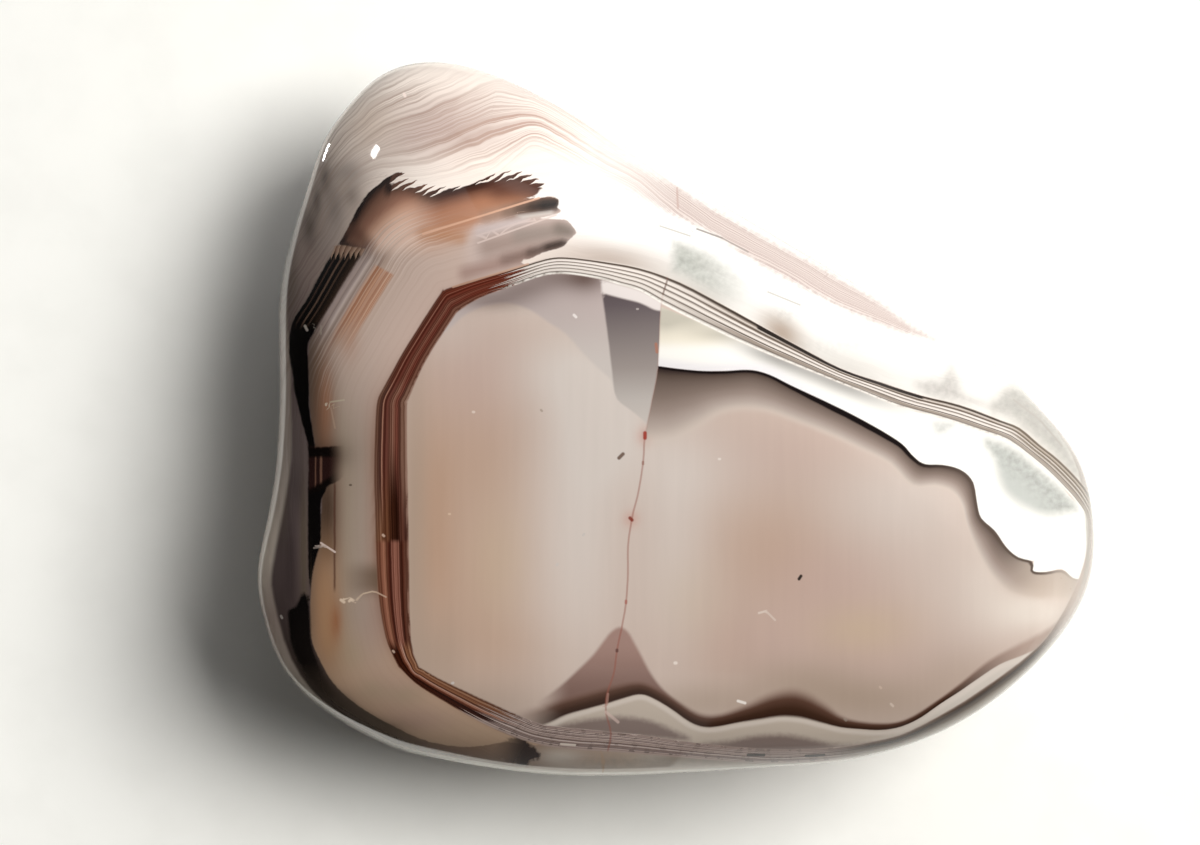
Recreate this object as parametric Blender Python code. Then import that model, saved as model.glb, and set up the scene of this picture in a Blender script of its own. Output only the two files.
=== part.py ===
"""A polished Botswana agate: one tumbled stone with a broad low crown, a long slope and a flat foot."""

import math

import bmesh
import bpy
import numpy as np

MM = 0.001

# The stone lies with +Z up and its length along +X. Outline seen from above, in millimetres, anticlockwise.
OUTLINE = (
    (24.8, -7.4), (24.3, -3.1), (22.8, -0.7), (20.9, 1.2), (19.5, 3.0), (17.3, 4.1), (11.5, 7.5), (5.8, 10.9),
    (-1.4, 15.1), (-8.2, 19.2), (-12.6, 21.0), (-15.7, 21.2), (-17.9, 20.3), (-19.5, 18.6), (-21.1, 16.5),
    (-21.8, 14.1), (-22.7, 11.6), (-23.7, 7.5), (-23.6, 1.1), (-23.7, -2.5), (-24.1, -5.4), (-24.8, -8.7),
    (-24.7, -10.8), (-23.5, -14.7), (-21.3, -17.2), (-18.2, -19.2), (-15.0, -20.3), (-6.3, -21.2), (4.9, -20.5),
    (10.9, -19.8), (16.1, -17.9), (21.1, -14.4), (24.0, -10.8),
)
OUTLINE_EASE = math.radians(2.2)

# The heart is the point inside the stone that its faces are measured from, in millimetres above the foot.
HEART = (-2.16, -2.49, 9.9)

# Ground faces: compass direction and lift of the face's normal in degrees, and millimetres from the heart.
FACES = {
    "crown": (235, 85, 11.2),
    "long slope": (60, 44, 13.9),
    "lobe slope": (116, 38, 23.0),
    "tip slope": (12, 40, 22.0),
    "left shoulder": (173, 46, 19.6),
    "near shoulder": (262, 48, 17.6),
    "left wall": (183, -4, 21.0),
    "near wall": (272, -2, 18.4),
    "corner wall": (222, 6, 22.5),
    "tip wall": (335, 2, 24.5),
    "far wall": (58, -12, 14.4),
    "lobe wall": (118, -6, 26.0),
    "base": (0, -90, 10.15),
    "base left": (196, -48, 17.5),
    "base near": (285, -42, 17.0),
    "base far": (75, -50, 13.6),
    "base lobe": (128, -44, 19.5),
    "base tip": (340, -46, 18.5),
}
TUMBLING = 12.0  # how sharply the faces meet: higher is crisper

# Slow unevenness left by tumbling: direction of the swell, waves across the stone and share of the reach.
SWELLS = (
    ((0.8, 0.5, 0.3), 6.0, 0.004),
    ((-0.4, 0.9, -0.2), 7.5, 0.003),
    ((0.1, -0.5, 0.9), 9.0, 0.003),
)

MESH_CUTS = 21
FOOT_SNAP = 0.02 * MM  # points this near the ground plane become part of the foot's edge
BEARINGS = np.linspace(-math.pi, math.pi, 720, endpoint=False)
LIFTS = np.radians(np.arange(-60, 61))

AGATE_COLOUR = (0.56, 0.46, 0.38, 1.0)
AGATE_ROUGHNESS = 0.08


def unit_vectors(bearing, lift):
    """Directions from a compass bearing and a lift above level, both in radians."""
    level = np.cos(lift)
    return np.stack([level * np.cos(bearing), level * np.sin(bearing), np.sin(lift)], axis=-1)


def reach(directions):
    """Millimetres from the heart to the skin: flat faces whose edges are tumbled round, with slow swells."""
    bearing, lift, distance = np.array(list(FACES.values())).T
    normals = unit_vectors(np.radians(bearing), np.radians(lift))
    closeness = np.maximum(directions @ normals.T / distance, 0.0)
    skin = (closeness ** TUMBLING).sum(axis=-1) ** (-1.0 / TUMBLING)
    for axis, waves, share in SWELLS:
        skin = skin * (1.0 + share * np.sin(waves * (directions @ np.array(axis))))
    return skin


def closed_curve(points, steps):
    """Points on a smooth closed curve that passes through the given ones."""
    here = np.array(points)
    before, after, beyond = (np.roll(here, turn, axis=0) for turn in (1, -1, -2))
    t = np.linspace(0.0, 1.0, steps, endpoint=False)[None, :, None]
    before, here, after, beyond = (side[:, None, :] for side in (before, here, after, beyond))
    bend = 2.0 * before - 5.0 * here + 4.0 * after - beyond
    twist = 3.0 * here - before - 3.0 * after + beyond
    curve = here + 0.5 * t * (after - before + t * (bend + t * twist))
    return curve.reshape(-1, 2)


def outline_reach():
    """Millimetres from the heart to the drawn outline at each bearing, with its corners eased."""
    curve = closed_curve(OUTLINE, 16) - np.array(HEART[:2])
    bearing = np.arctan2(curve[:, 1], curve[:, 0])
    radius = np.interp(BEARINGS, bearing, np.hypot(curve[:, 0], curve[:, 1]), period=2.0 * math.pi)
    waves = np.fft.rfft(radius)
    return np.fft.irfft(waves * np.exp(-0.5 * (np.arange(len(waves)) * OUTLINE_EASE) ** 2), len(radius))


def belt_reach():
    """How far the ground faces alone stand out at each bearing, seen from above."""
    bearing, lift = np.meshgrid(BEARINGS, LIFTS, indexing="ij")
    return (reach(unit_vectors(bearing, lift)) * np.cos(lift)).max(axis=1)


def skin_points(directions):
    """Millimetre positions on the skin, stretched in plan so that the stone's widest line is the outline."""
    points = reach(directions)[:, None] * directions
    bearing = np.arctan2(points[:, 1], points[:, 0])
    belt = belt_reach()
    stretch = outline_reach() / belt
    outwards = np.hypot(points[:, 0], points[:, 1]) / np.interp(bearing, BEARINGS, belt, period=2.0 * math.pi)
    blend = np.clip(outwards, 0.0, 1.0) ** 2 * (3.0 - 2.0 * np.clip(outwards, 0.0, 1.0))
    own = np.interp(bearing, BEARINGS, stretch, period=2.0 * math.pi)
    points[:, :2] *= (stretch.mean() + blend * (own - stretch.mean()))[:, None]
    return points + np.array(HEART)


def cube_directions(bm):
    """Directions through the points of a cube divided into squares, spread to nearly equal angles."""
    corners = np.array([vert.co for vert in bm.verts])
    spread = np.tan(corners * math.pi / 4.0)
    return spread / np.linalg.norm(spread, axis=1)[:, None]


def centred(points):
    """The points moved in plan so that the stone's length and width are centred over the origin."""
    middle = (points.min(axis=0) + points.max(axis=0)) / 2.0
    return points - np.array((middle[0], middle[1], 0.0))


def build_stone():
    """The whole stone as one closed mesh, its underside ground flat at z = 0."""
    bm = bmesh.new()
    bmesh.ops.create_cube(bm, size=2.0)
    bmesh.ops.subdivide_edges(bm, edges=bm.edges, cuts=MESH_CUTS, use_grid_fill=True)
    points = centred(skin_points(cube_directions(bm))) * MM
    for vert, point in zip(bm.verts, points):
        vert.co = point
    everything = bm.verts[:] + bm.edges[:] + bm.faces[:]
    bmesh.ops.bisect_plane(bm, geom=everything, dist=FOOT_SNAP, plane_no=(0.0, 0.0, 1.0), clear_inner=True)
    rim = [edge for edge in bm.edges if edge.is_boundary]
    for vert in {vert for edge in rim for vert in edge.verts}:
        vert.co.z = 0.0
    bmesh.ops.contextual_create(bm, geom=rim)
    bmesh.ops.recalc_face_normals(bm, faces=bm.faces)
    mesh = bpy.data.meshes.new("agate")
    bm.to_mesh(mesh)
    bm.free()
    mesh.shade_smooth()
    mesh.set_sharp_from_angle(angle=math.radians(40))
    return mesh


def agate_material():
    """Warm grey-beige chalcedony under a glossy polish."""
    material = bpy.data.materials.new("agate")
    material.use_nodes = True
    shader = material.node_tree.nodes["Principled BSDF"]
    shader.inputs["Base Color"].default_value = AGATE_COLOUR
    shader.inputs["Roughness"].default_value = AGATE_ROUGHNESS
    shader.inputs["Metallic"].default_value = 0.0
    return material


def main():
    for obj in list(bpy.data.objects):
        bpy.data.objects.remove(obj)
    stone = bpy.data.objects.new("agate", build_stone())
    stone.data.materials.append(agate_material())
    bpy.context.scene.collection.objects.link(stone)


main()
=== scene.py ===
"""Looks of the polished Botswana agate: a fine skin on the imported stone, painted band by band."""

import math

import bmesh
import bpy
import numpy as np
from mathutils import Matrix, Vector


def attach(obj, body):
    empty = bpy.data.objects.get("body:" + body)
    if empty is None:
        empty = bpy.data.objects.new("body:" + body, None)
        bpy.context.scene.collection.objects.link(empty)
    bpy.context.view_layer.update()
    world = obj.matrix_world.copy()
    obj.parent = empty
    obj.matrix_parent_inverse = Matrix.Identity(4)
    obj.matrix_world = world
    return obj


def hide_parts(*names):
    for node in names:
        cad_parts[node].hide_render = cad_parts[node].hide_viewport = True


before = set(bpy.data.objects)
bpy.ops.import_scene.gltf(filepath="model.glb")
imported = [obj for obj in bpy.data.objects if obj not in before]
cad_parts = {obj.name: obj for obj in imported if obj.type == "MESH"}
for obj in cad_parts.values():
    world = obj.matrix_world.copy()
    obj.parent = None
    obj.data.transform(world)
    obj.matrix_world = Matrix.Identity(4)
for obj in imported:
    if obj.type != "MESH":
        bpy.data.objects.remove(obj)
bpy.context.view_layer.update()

MM = 0.001

# The stone's drawn shape, the same as the solid's, in millimetres.
OUTLINE = (
    (24.8, -7.4), (24.3, -3.1), (22.8, -0.7), (20.9, 1.2), (19.5, 3.0), (17.3, 4.1), (11.5, 7.5), (5.8, 10.9),
    (-1.4, 15.1), (-8.2, 19.2), (-12.6, 21.0), (-15.7, 21.2), (-17.9, 20.3), (-19.5, 18.6), (-21.1, 16.5),
    (-21.8, 14.1), (-22.7, 11.6), (-23.7, 7.5), (-23.6, 1.1), (-23.7, -2.5), (-24.1, -5.4), (-24.8, -8.7),
    (-24.7, -10.8), (-23.5, -14.7), (-21.3, -17.2), (-18.2, -19.2), (-15.0, -20.3), (-6.3, -21.2),
    (4.9, -20.5), (10.9, -19.8), (16.1, -17.9), (21.1, -14.4), (24.0, -10.8),
)
OUTLINE_EASE = math.radians(2.2)
HEART = (-2.16, -2.49, 9.9)
FACES = {
    "crown": (235, 85, 11.2),
    "long slope": (60, 44, 13.9),
    "lobe slope": (116, 38, 23.0),
    "tip slope": (12, 40, 22.0),
    "left shoulder": (173, 46, 19.6),
    "near shoulder": (262, 48, 17.6),
    "left wall": (183, -4, 21.0),
    "near wall": (272, -2, 18.4),
    "corner wall": (222, 6, 22.5),
    "tip wall": (335, 2, 24.5),
    "far wall": (58, -12, 14.4),
    "lobe wall": (118, -6, 26.0),
    "base": (0, -90, 10.15),
    "base left": (196, -48, 17.5),
    "base near": (285, -42, 17.0),
    "base far": (75, -50, 13.6),
    "base lobe": (128, -44, 19.5),
    "base tip": (340, -46, 18.5),
}
TUMBLING = 12.0
SWELLS = (
    ((0.8, 0.5, 0.3), 6.0, 0.004),
    ((-0.4, 0.9, -0.2), 7.5, 0.003),
    ((0.1, -0.5, 0.9), 9.0, 0.003),
)
OUTLINE_STEPS = 16
BEARINGS = np.linspace(-math.pi, math.pi, 720, endpoint=False)
LIFTS = np.radians(np.arange(-60, 61))

# The fine skin: cuts along the starting cube, extra cuts on its upper side, and how flat its points lie.
SKIN_CUTS = 59
UPPER_CUTS = 2
UPPER_FROM = 0.15
POINT_FLATTEN = 2.0

# The camera looks straight down on a picture of 1200 by 845 pixels. One of them is this many millimetres
# wide at the stone's widest line.
PIXEL = 0.06
PICTURE = (1200, 845)
PLAN_MIDDLE = (675.8, 418.7)
BELT_HEIGHT = 10.0
EYE_DISTANCE = 220.0
SENSOR = 36.0

# How the pattern runs on below the widest line: its spread outwards, its sway in pixels and its turn, and how
# slowly the spread and the turn set in.
RUN_ON = 0.42
DIP_WANDER = 20.0
DIP_TWIST = math.radians(48.0)
RUN_ON_ONSET = 1.3
TWIST_ONSET = 1.5

# The sway's waves across and down the picture: what the first and the second follow, and the second's delay.
SWAY_WAVES = (((0.0, 0.55, 0.35), (0.9, 0.0, 0.0), -1.0), ((0.45, 0.0, -0.4), (0.0, 0.8, 0.0), 2.0))
SECOND_WAVE = 0.6

# In the material: how far lines sway, the stretch of streaks, the scales of noise, the measure of depth, and
# the polish with its least and greatest roughness.
SWAY_SHARE = 0.6
SWAY_ACROSS = 0.02
STREAK = (1.0, 0.07, 1.0)
SWAY_GRAIN_DRIFT = (0.06, 0.22, 0.02)
DEPTH_SCALE = 100.0
AGATE_IOR = 1.54
POLISH = (0.06, 0.1)

# The camera's lens and the nearest it sees, in metres.
LENS = 110.0
NEAR_CLIP = 0.01

# The table: its width in metres, its two colours, its grains to a metre, its roughness and its shine.
TABLE_WIDTH = 4.0
TABLE_PALE = (0.97, 0.97, 0.93, 1.0)
TABLE_GRAIN = (0.94, 0.94, 0.9, 1.0)
TABLE_GRAINS = 260.0
TABLE_ROUGHNESS = 0.6
TABLE_SHINE = 0.3
SQUARE = ((-0.5, -0.5), (0.5, -0.5), (0.5, 0.5), (-0.5, 0.5))

# The black card: its glow at each bearing, its steps, and its distance and height in metres.
CARD_BEARINGS = (104.0, 270.0)
CARD_GLOW = (
    (104.0, 0.55), (122.0, 0.42), (140.0, 0.22), (158.0, 0.06), (168.0, 0.0), (236.0, 0.0), (270.0, 0.3),
)
CARD_STEPS = 43
CARD_AWAY = 0.036
CARD_HEIGHT = 0.07
CARD_BLACK = (0.012, 0.011, 0.01, 1.0)

# The bright panes, in millimetres: where each glint shows on the stone, which way the polish looks there, and
# the pane's width and height.
PANES = (
    ("pane_near", (-17.5, 15.4, 18.2), (-0.779, 0.624, -0.059), 1.5, 0.8),
    ("pane_far", (-20.7, 15.7, 14.3), (-0.64, 0.295, -0.709), 1.9, 0.45),
)
PANE_GLOW = 40.0
PANE_AWAY = 9.0

# The room's light from the horizon up, and from its dark side to its bright one.
ROOM_LEVELS = (
    (0.0, (0.8, 0.8, 0.78, 1.0)), (0.1, (0.7, 0.7, 0.68, 1.0)), (0.28, (0.12, 0.12, 0.12, 1.0)),
    (1.0, (0.02, 0.02, 0.02, 1.0)),
)
ROOM_BEARING = 30.0
ROOM_SIDES = ((0.0, (0.12, 0.12, 0.12, 1.0)), (0.5, (0.5, 0.5, 0.5, 1.0)), (1.0, (1.0, 1.0, 1.0, 1.0)))

# The lamps: bearing and lift in degrees, distance, width and height in metres, power and colour.
LAMPS = (
    ("window", 22, 58, 0.5, 0.26, 0.26, 3.0, (1.0, 0.985, 0.96)),
    ("far window", 68, 42, 0.42, 0.26, 0.26, 0.28, (0.97, 0.98, 1.0)),
    ("pale wall", 140, 38, 0.45, 0.3, 0.3, 0.12, (1.0, 0.98, 0.96)),
)


def unit_vectors(bearing, lift):
    """Directions from a compass bearing and a lift above level, both in radians."""
    level = np.cos(lift)
    return np.stack([level * np.cos(bearing), level * np.sin(bearing), np.sin(lift)], axis=-1)


def reach(directions):
    """Millimetres from the heart to the skin: flat faces whose edges are tumbled round, with slow swells."""
    bearing, lift, distance = np.array(list(FACES.values())).T
    normals = unit_vectors(np.radians(bearing), np.radians(lift))
    closeness = np.maximum(directions @ normals.T / distance, 0.0)
    skin = (closeness ** TUMBLING).sum(axis=-1) ** (-1.0 / TUMBLING)
    for axis, waves, share in SWELLS:
        skin = skin * (1.0 + share * np.sin(waves * (directions @ np.array(axis))))
    return skin


def bent(points, steps, closed=False):
    """Points on a smooth curve through the given ones. A point given twice is a corner."""
    here = np.array(points, dtype=float)
    if closed:
        before, after, beyond = (np.roll(here, turn, axis=0) for turn in (1, -1, -2))
    else:
        padded = np.concatenate([here[:1], here, here[-1:], here[-1:]])
        before, here, after, beyond = padded[:-3], padded[1:-2], padded[2:-1], padded[3:]
    t = np.linspace(0.0, 1.0, steps, endpoint=False)[None, :, None]
    before, here, after, beyond = (side[:, None, :] for side in (before, here, after, beyond))
    bend = 2.0 * before - 5.0 * here + 4.0 * after - beyond
    twist = 3.0 * here - before - 3.0 * after + beyond
    curve = (here + 0.5 * t * (after - before + t * (bend + t * twist))).reshape(-1, 2)
    return np.concatenate([curve, curve[:1]]) if closed else curve


def outline_reach():
    """Millimetres from the heart to the drawn outline at each bearing, with its corners eased."""
    curve = bent(OUTLINE, OUTLINE_STEPS, closed=True)[:-1] - np.array(HEART[:2])
    bearing = np.arctan2(curve[:, 1], curve[:, 0])
    radius = np.interp(BEARINGS, bearing, np.hypot(curve[:, 0], curve[:, 1]), period=2.0 * math.pi)
    waves = np.fft.rfft(radius)
    return np.fft.irfft(waves * np.exp(-0.5 * (np.arange(len(waves)) * OUTLINE_EASE) ** 2), len(radius))


def belt_reach():
    """How far the ground faces alone stand out at each bearing, seen from above."""
    bearing, lift = np.meshgrid(BEARINGS, LIFTS, indexing="ij")
    return (reach(unit_vectors(bearing, lift)) * np.cos(lift)).max(axis=1)


def skin_points(directions):
    """Millimetre positions on the skin, stretched in plan so that the stone's widest line is the outline."""
    points = reach(directions)[:, None] * directions
    bearing = np.arctan2(points[:, 1], points[:, 0])
    belt = belt_reach()
    stretch = outline_reach() / belt
    outwards = np.hypot(points[:, 0], points[:, 1]) / np.interp(bearing, BEARINGS, belt, period=2.0 * math.pi)
    blend = np.clip(outwards, 0.0, 1.0) ** 2 * (3.0 - 2.0 * np.clip(outwards, 0.0, 1.0))
    own = np.interp(bearing, BEARINGS, stretch, period=2.0 * math.pi)
    points[:, :2] *= (stretch.mean() + blend * (own - stretch.mean()))[:, None]
    return points + np.array(HEART)


def build_skin():
    """The stone's fine mesh, denser on the side that shows the pattern, with its underside flat at z = 0."""
    bm = bmesh.new()
    bmesh.ops.create_cube(bm, size=2.0)
    bmesh.ops.subdivide_edges(bm, edges=bm.edges, cuts=SKIN_CUTS, use_grid_fill=True)
    upper = set()
    for face in bm.faces:
        middle = face.calc_center_median().normalized()
        if middle.z > UPPER_FROM:
            upper.update(face.edges)
    bmesh.ops.subdivide_edges(bm, edges=list(upper), cuts=UPPER_CUTS, use_grid_fill=True)
    mesh = bpy.data.meshes.new("agate_skin")
    bm.to_mesh(mesh)
    bm.free()
    corners = np.empty(len(mesh.vertices) * 3)
    mesh.vertices.foreach_get("co", corners)
    spread = np.tan(corners.reshape(-1, 3) * math.pi / 4.0)
    spread /= np.linalg.norm(spread, axis=1)[:, None]
    spread[:, :2] *= POINT_FLATTEN
    points = skin_points(spread / np.linalg.norm(spread, axis=1)[:, None])
    low, high = points.min(axis=0), points.max(axis=0)
    points[:, :2] -= (low[:2] + high[:2]) / 2.0
    points[:, 2] = np.maximum(points[:, 2], 0.0)
    mesh.vertices.foreach_set("co", (points * MM).ravel())
    mesh.update()
    mesh.shade_smooth()
    return mesh, points


def plan_of(points):
    """Where each skin point shows in the picture, in pixels, and how far below the widest line it lies."""
    depth = np.clip((BELT_HEIGHT - points[:, 2]) / BELT_HEIGHT, 0.0, 1.0)
    eye_x = (PICTURE[0] / 2.0 - PLAN_MIDDLE[0]) * PIXEL
    eye_y = (PLAN_MIDDLE[1] - PICTURE[1] / 2.0) * PIXEL
    nearness = EYE_DISTANCE / (EYE_DISTANCE + BELT_HEIGHT - points[:, 2])
    across = eye_x + (points[:, 0] - eye_x) * nearness
    up = eye_y + (points[:, 1] - eye_y) * nearness
    spread = 1.0 + RUN_ON * depth ** RUN_ON_ONSET
    turn = DIP_TWIST * depth ** TWIST_ONSET
    off_x, off_y = (across - HEART[0]) * spread, (up - HEART[1]) * spread
    across = HEART[0] + off_x * np.cos(turn) - off_y * np.sin(turn)
    up = HEART[1] + off_x * np.sin(turn) + off_y * np.cos(turn)
    x = PLAN_MIDDLE[0] + across / PIXEL
    y = PLAN_MIDDLE[1] - up / PIXEL
    swayed = []
    for place, (first, second, delay) in zip((x, y), SWAY_WAVES):
        waves = np.sin(points @ np.array(first)) + SECOND_WAVE * np.sin(points @ np.array(second) + delay)
        swayed.append(place + DIP_WANDER * depth * waves)
    return np.stack(swayed, axis=1), depth


SKIN, SKIN_POINTS = build_skin()
PIXELS, DEPTH = plan_of(SKIN_POINTS)
PLAN = PIXELS.astype(np.float32)


# Straight runs between two points of a drawn line, and the shortest run that counts, in pixels.
CURVE_STEPS = 3
SHORTEST_RUN = 0.001

# The stone's edge in the picture and the lines of its pattern, in pixels. A point given twice is a corner.
SILHOUETTE = (
    (1093, 544), (1083, 470), (1060, 430), (1030, 397), (1003, 368), (970, 348), (870, 292), (773, 235),
    (653, 163), (538, 94), (465, 65), (413, 64), (376, 78), (348, 105), (323, 142), (308, 180), (295, 224),
    (280, 294), (278, 400), (276, 460), (268, 510), (258, 565), (260, 600), (282, 665), (320, 707),
    (373, 738), (426, 757), (570, 775), (760, 768), (860, 758), (950, 728), (1030, 669), (1081, 601),
)
ARCH_OUTER = (
    (1097, 515), (1085, 488), (1060, 461), (1040, 445), (1020, 428), (1000, 420), (960, 405), (920, 395),
    (880, 382), (840, 368), (800, 347), (760, 325), (720, 303), (680, 282), (640, 268), (600, 261),
    (565, 257), (545, 259), (510, 270), (470, 281), (443, 290), (443, 290), (430, 309), (403, 352),
    (392, 372), (382, 390), (382, 390), (377, 402), (375, 430), (374, 470), (375, 510), (376, 550),
    (378, 590), (382, 620), (388, 645), (398, 666), (398, 666), (415, 683), (440, 699), (480, 722),
    (520, 739), (560, 748), (620, 752), (680, 757), (760, 763), (840, 760), (900, 749), (960, 722),
    (1005, 692), (1045, 658), (1075, 615), (1092, 570), (1098, 540),
)
ARCH_TOP = (
    (1077, 503), (1060, 484), (1040, 465), (1008, 441), (980, 431), (940, 418), (900, 407), (860, 391),
    (820, 375), (780, 359), (740, 342), (700, 323),
)
ARCH_INNER = ((1086, 518),) + ARCH_TOP + (
    (664, 305), (640, 291), (620, 285), (600, 279), (570, 274), (545, 275), (515, 285), (480, 298),
    (457, 312), (457, 312), (445, 330), (432, 350), (420, 372), (407, 403), (407, 403), (407, 440),
    (408, 500), (409, 560), (411, 640), (419, 667), (419, 667), (440, 679), (480, 698), (520, 716),
    (545, 725), (600, 731), (640, 735), (680, 741), (760, 749), (830, 748), (870, 742), (900, 735),
    (930, 721), (960, 704), (990, 684), (1020, 662), (1045, 639), (1066, 607), (1080, 575), (1087, 545),
)
WALL = (
    (541, 187), (541, 187), (530, 182), (518, 179), (505, 179), (490, 181), (475, 184), (460, 188),
    (445, 192), (430, 195), (415, 190), (402, 188), (390, 189), (391, 184), (398, 174), (398, 174),
    (389, 177), (380, 184), (370, 192), (361, 203), (355, 213), (350, 223), (344, 235), (338, 245),
    (338, 245), (345, 247), (361, 254), (361, 254), (350, 273), (338, 292), (325, 314), (317, 328),
    (310, 341), (308, 360), (309, 390), (310, 410), (312, 428), (315, 446), (319, 470), (322, 490),
    (321, 520), (318, 548), (313, 566), (311, 590), (310, 625), (312, 642), (320, 660), (331, 680),
    (347, 697), (368, 712), (395, 727), (430, 742), (470, 747), (505, 742), (530, 745),
)
FINGER_TIPS = (
    (534, 194), (524, 199), (524, 199), (536, 199), (548, 197), (557, 198), (559, 203), (557, 208),
    (562, 211), (553, 215), (538, 218), (538, 218), (552, 219), (566, 220), (573, 227), (576, 233),
    (571, 238), (568, 241), (563, 247), (552, 250), (540, 254), (530, 259), (522, 263),
)
BLACK_LEFT = (
    (337, 245), (334, 250), (327, 262), (321, 273), (314, 286), (307, 299), (299, 311), (293, 321),
    (290, 332), (289, 345), (290, 360), (293, 376), (294, 388), (297, 402), (301, 418), (305, 433),
    (308, 446), (309, 465), (308, 490), (308, 520), (308, 560), (309, 590), (307, 600),
)
BLACK_RIGHT = (
    (366, 249), (362, 254), (353, 268), (343, 284), (333, 301), (322, 319), (314, 332), (308, 344),
    (308, 360), (309, 390), (309, 405), (311, 420), (314, 440), (315, 446), (316, 465), (326, 488),
    (321, 500), (321, 525), (320, 545), (315, 562), (311, 585), (310, 600),
)
CRESCENT = (
    (303, 592), (296, 606), (288, 611), (289, 628), (291, 644), (299, 664), (311, 684), (326, 699),
    (345, 712), (368, 725), (395, 738), (425, 750), (460, 757), (460, 751), (425, 743), (395, 731),
    (368, 716), (350, 703), (334, 688), (321, 668), (313, 648), (311, 636), (310, 615), (308, 600),
)
DARK_BLOB = (
    (498, 747), (512, 740), (520, 739), (530, 747), (539, 756), (530, 758), (524, 764), (505, 758),
    (490, 756),
)
LILAC_EDGE = (
    (380, 342), (430, 338), (450, 328), (465, 315), (485, 306), (508, 303), (530, 310), (548, 322),
    (566, 334), (582, 352), (598, 368), (612, 381), (618, 397), (632, 409), (648, 425), (665, 440),
)
BLOCK = (
    (602, 293), (602, 293), (620, 298), (640, 303), (655, 310), (668, 311), (668, 311), (666, 340),
    (664, 380), (660, 410), (650, 425), (650, 425), (632, 411), (617, 399), (613, 381), (613, 381),
    (609, 345), (605, 315),
)
WHITE_GAP = (
    (601, 280), (601, 280), (640, 291), (666, 305), (661, 312), (640, 303), (620, 298), (602, 293),
    (602, 293),
)
DARK_STEPS = (
    (680, 369), (702, 371), (725, 371), (751, 370), (770, 375), (790, 385), (805, 392), (820, 399),
    (851, 414), (882, 431), (902, 444), (912, 455), (924, 464), (943, 465), (961, 470), (973, 482),
    (977, 503), (981, 518), (995, 531), (1006, 547),
)
CREAM = ((659, 306), (659, 306), (658, 366), (658, 366)) + DARK_STEPS + (
    (1018, 558), (1034, 561), (1034, 561), (1032, 572), (1032, 572), (1046, 572), (1062, 569), (1073, 578),
    (1084, 579), (1110, 579), (1110, 520),
) + ARCH_TOP
DARK_LINE = ((640, 362), (658, 366)) + DARK_STEPS + (
    (1018, 557), (1033, 562), (1033, 571), (1046, 572), (1062, 570), (1073, 577), (1084, 579), (1120, 580),
)
DARK_FADE = (
    (636, 446), (650, 442), (675, 438), (700, 425), (720, 413), (745, 409), (770, 412), (800, 423),
    (828, 434), (860, 449), (890, 464), (912, 486), (935, 486), (952, 492), (962, 505), (966, 522),
    (975, 547), (990, 574), (1008, 592), (1030, 598), (1050, 598), (1075, 600), (1110, 606),
)
WAVE_LOW = (
    (470, 730), (505, 730), (530, 728), (550, 722), (565, 715), (585, 709), (607, 703), (620, 699),
    (640, 694), (655, 699), (670, 708), (690, 722), (705, 727), (720, 726), (740, 722), (760, 719),
    (780, 716), (800, 717), (820, 722), (840, 727), (860, 729), (880, 730), (900, 727), (920, 718),
    (940, 704), (960, 691), (980, 677), (1000, 664), (1020, 656), (1040, 647), (1060, 634), (1080, 615),
)
WAVE_HIGH = (
    (470, 700), (505, 707), (530, 704), (560, 695), (590, 687), (615, 681), (640, 678), (660, 686),
    (680, 699), (700, 710), (720, 711), (745, 701), (765, 690), (790, 683), (810, 688), (830, 702),
    (848, 716), (880, 721), (905, 718), (935, 700), (960, 681), (985, 660), (1010, 645), (1035, 632),
    (1055, 620), (1078, 600),
)
WEDGE = (
    (620, 627), (611, 632), (603, 642), (593, 655), (580, 668), (565, 682), (550, 694), (535, 703),
    (535, 703), (560, 712), (610, 706), (660, 704), (690, 712), (690, 712), (672, 698), (660, 686),
    (650, 672), (641, 655), (634, 642), (628, 632),
)
LENS_LEFT = (
    (548, 730), (575, 722), (600, 718), (625, 717), (650, 721), (672, 730), (690, 740), (640, 737),
    (600, 733),
)
LENS_RIGHT = (
    (700, 745), (730, 741), (755, 736), (785, 735), (810, 739), (840, 745), (880, 743), (845, 751),
    (800, 755), (750, 752),
)
LOBE_LOW = (
    (285, 340), (298, 295), (312, 255), (325, 222), (345, 192), (366, 174), (395, 167), (440, 158),
    (480, 146), (508, 134), (528, 127), (548, 131), (590, 155), (640, 183), (677, 214), (730, 247),
    (781, 273), (833, 303), (883, 322), (935, 345), (980, 372),
)
LOBE_HIGH = (
    (262, 330), (285, 255), (300, 212), (318, 168), (340, 133), (372, 103), (405, 84), (435, 68), (464, 50),
    (498, 38), (530, 54), (560, 86), (615, 128), (691, 180), (773, 231), (870, 290), (935, 330), (985, 356),
)
CRACK = (
    (677, 170), (677, 190), (677, 216), (673, 239), (667, 280), (661, 305), (658, 366), (652, 400),
    (645, 436), (643, 463), (638, 494), (632, 518), (628, 547), (628, 574), (626, 603), (622, 626),
    (617, 650), (614, 673), (607, 694), (606, 713), (611, 734), (606, 759), (600, 790),
)
PINK_BAND = (
    (600, 140), (640, 168), (679, 188), (695, 199), (733, 220), (772, 242), (811, 262), (849, 284),
    (880, 303), (907, 323), (931, 338), (931, 338), (905, 333), (888, 327), (849, 311), (811, 292),
    (772, 271), (740, 252), (714, 234), (690, 222), (672, 214), (640, 196), (600, 172),
)
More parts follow.
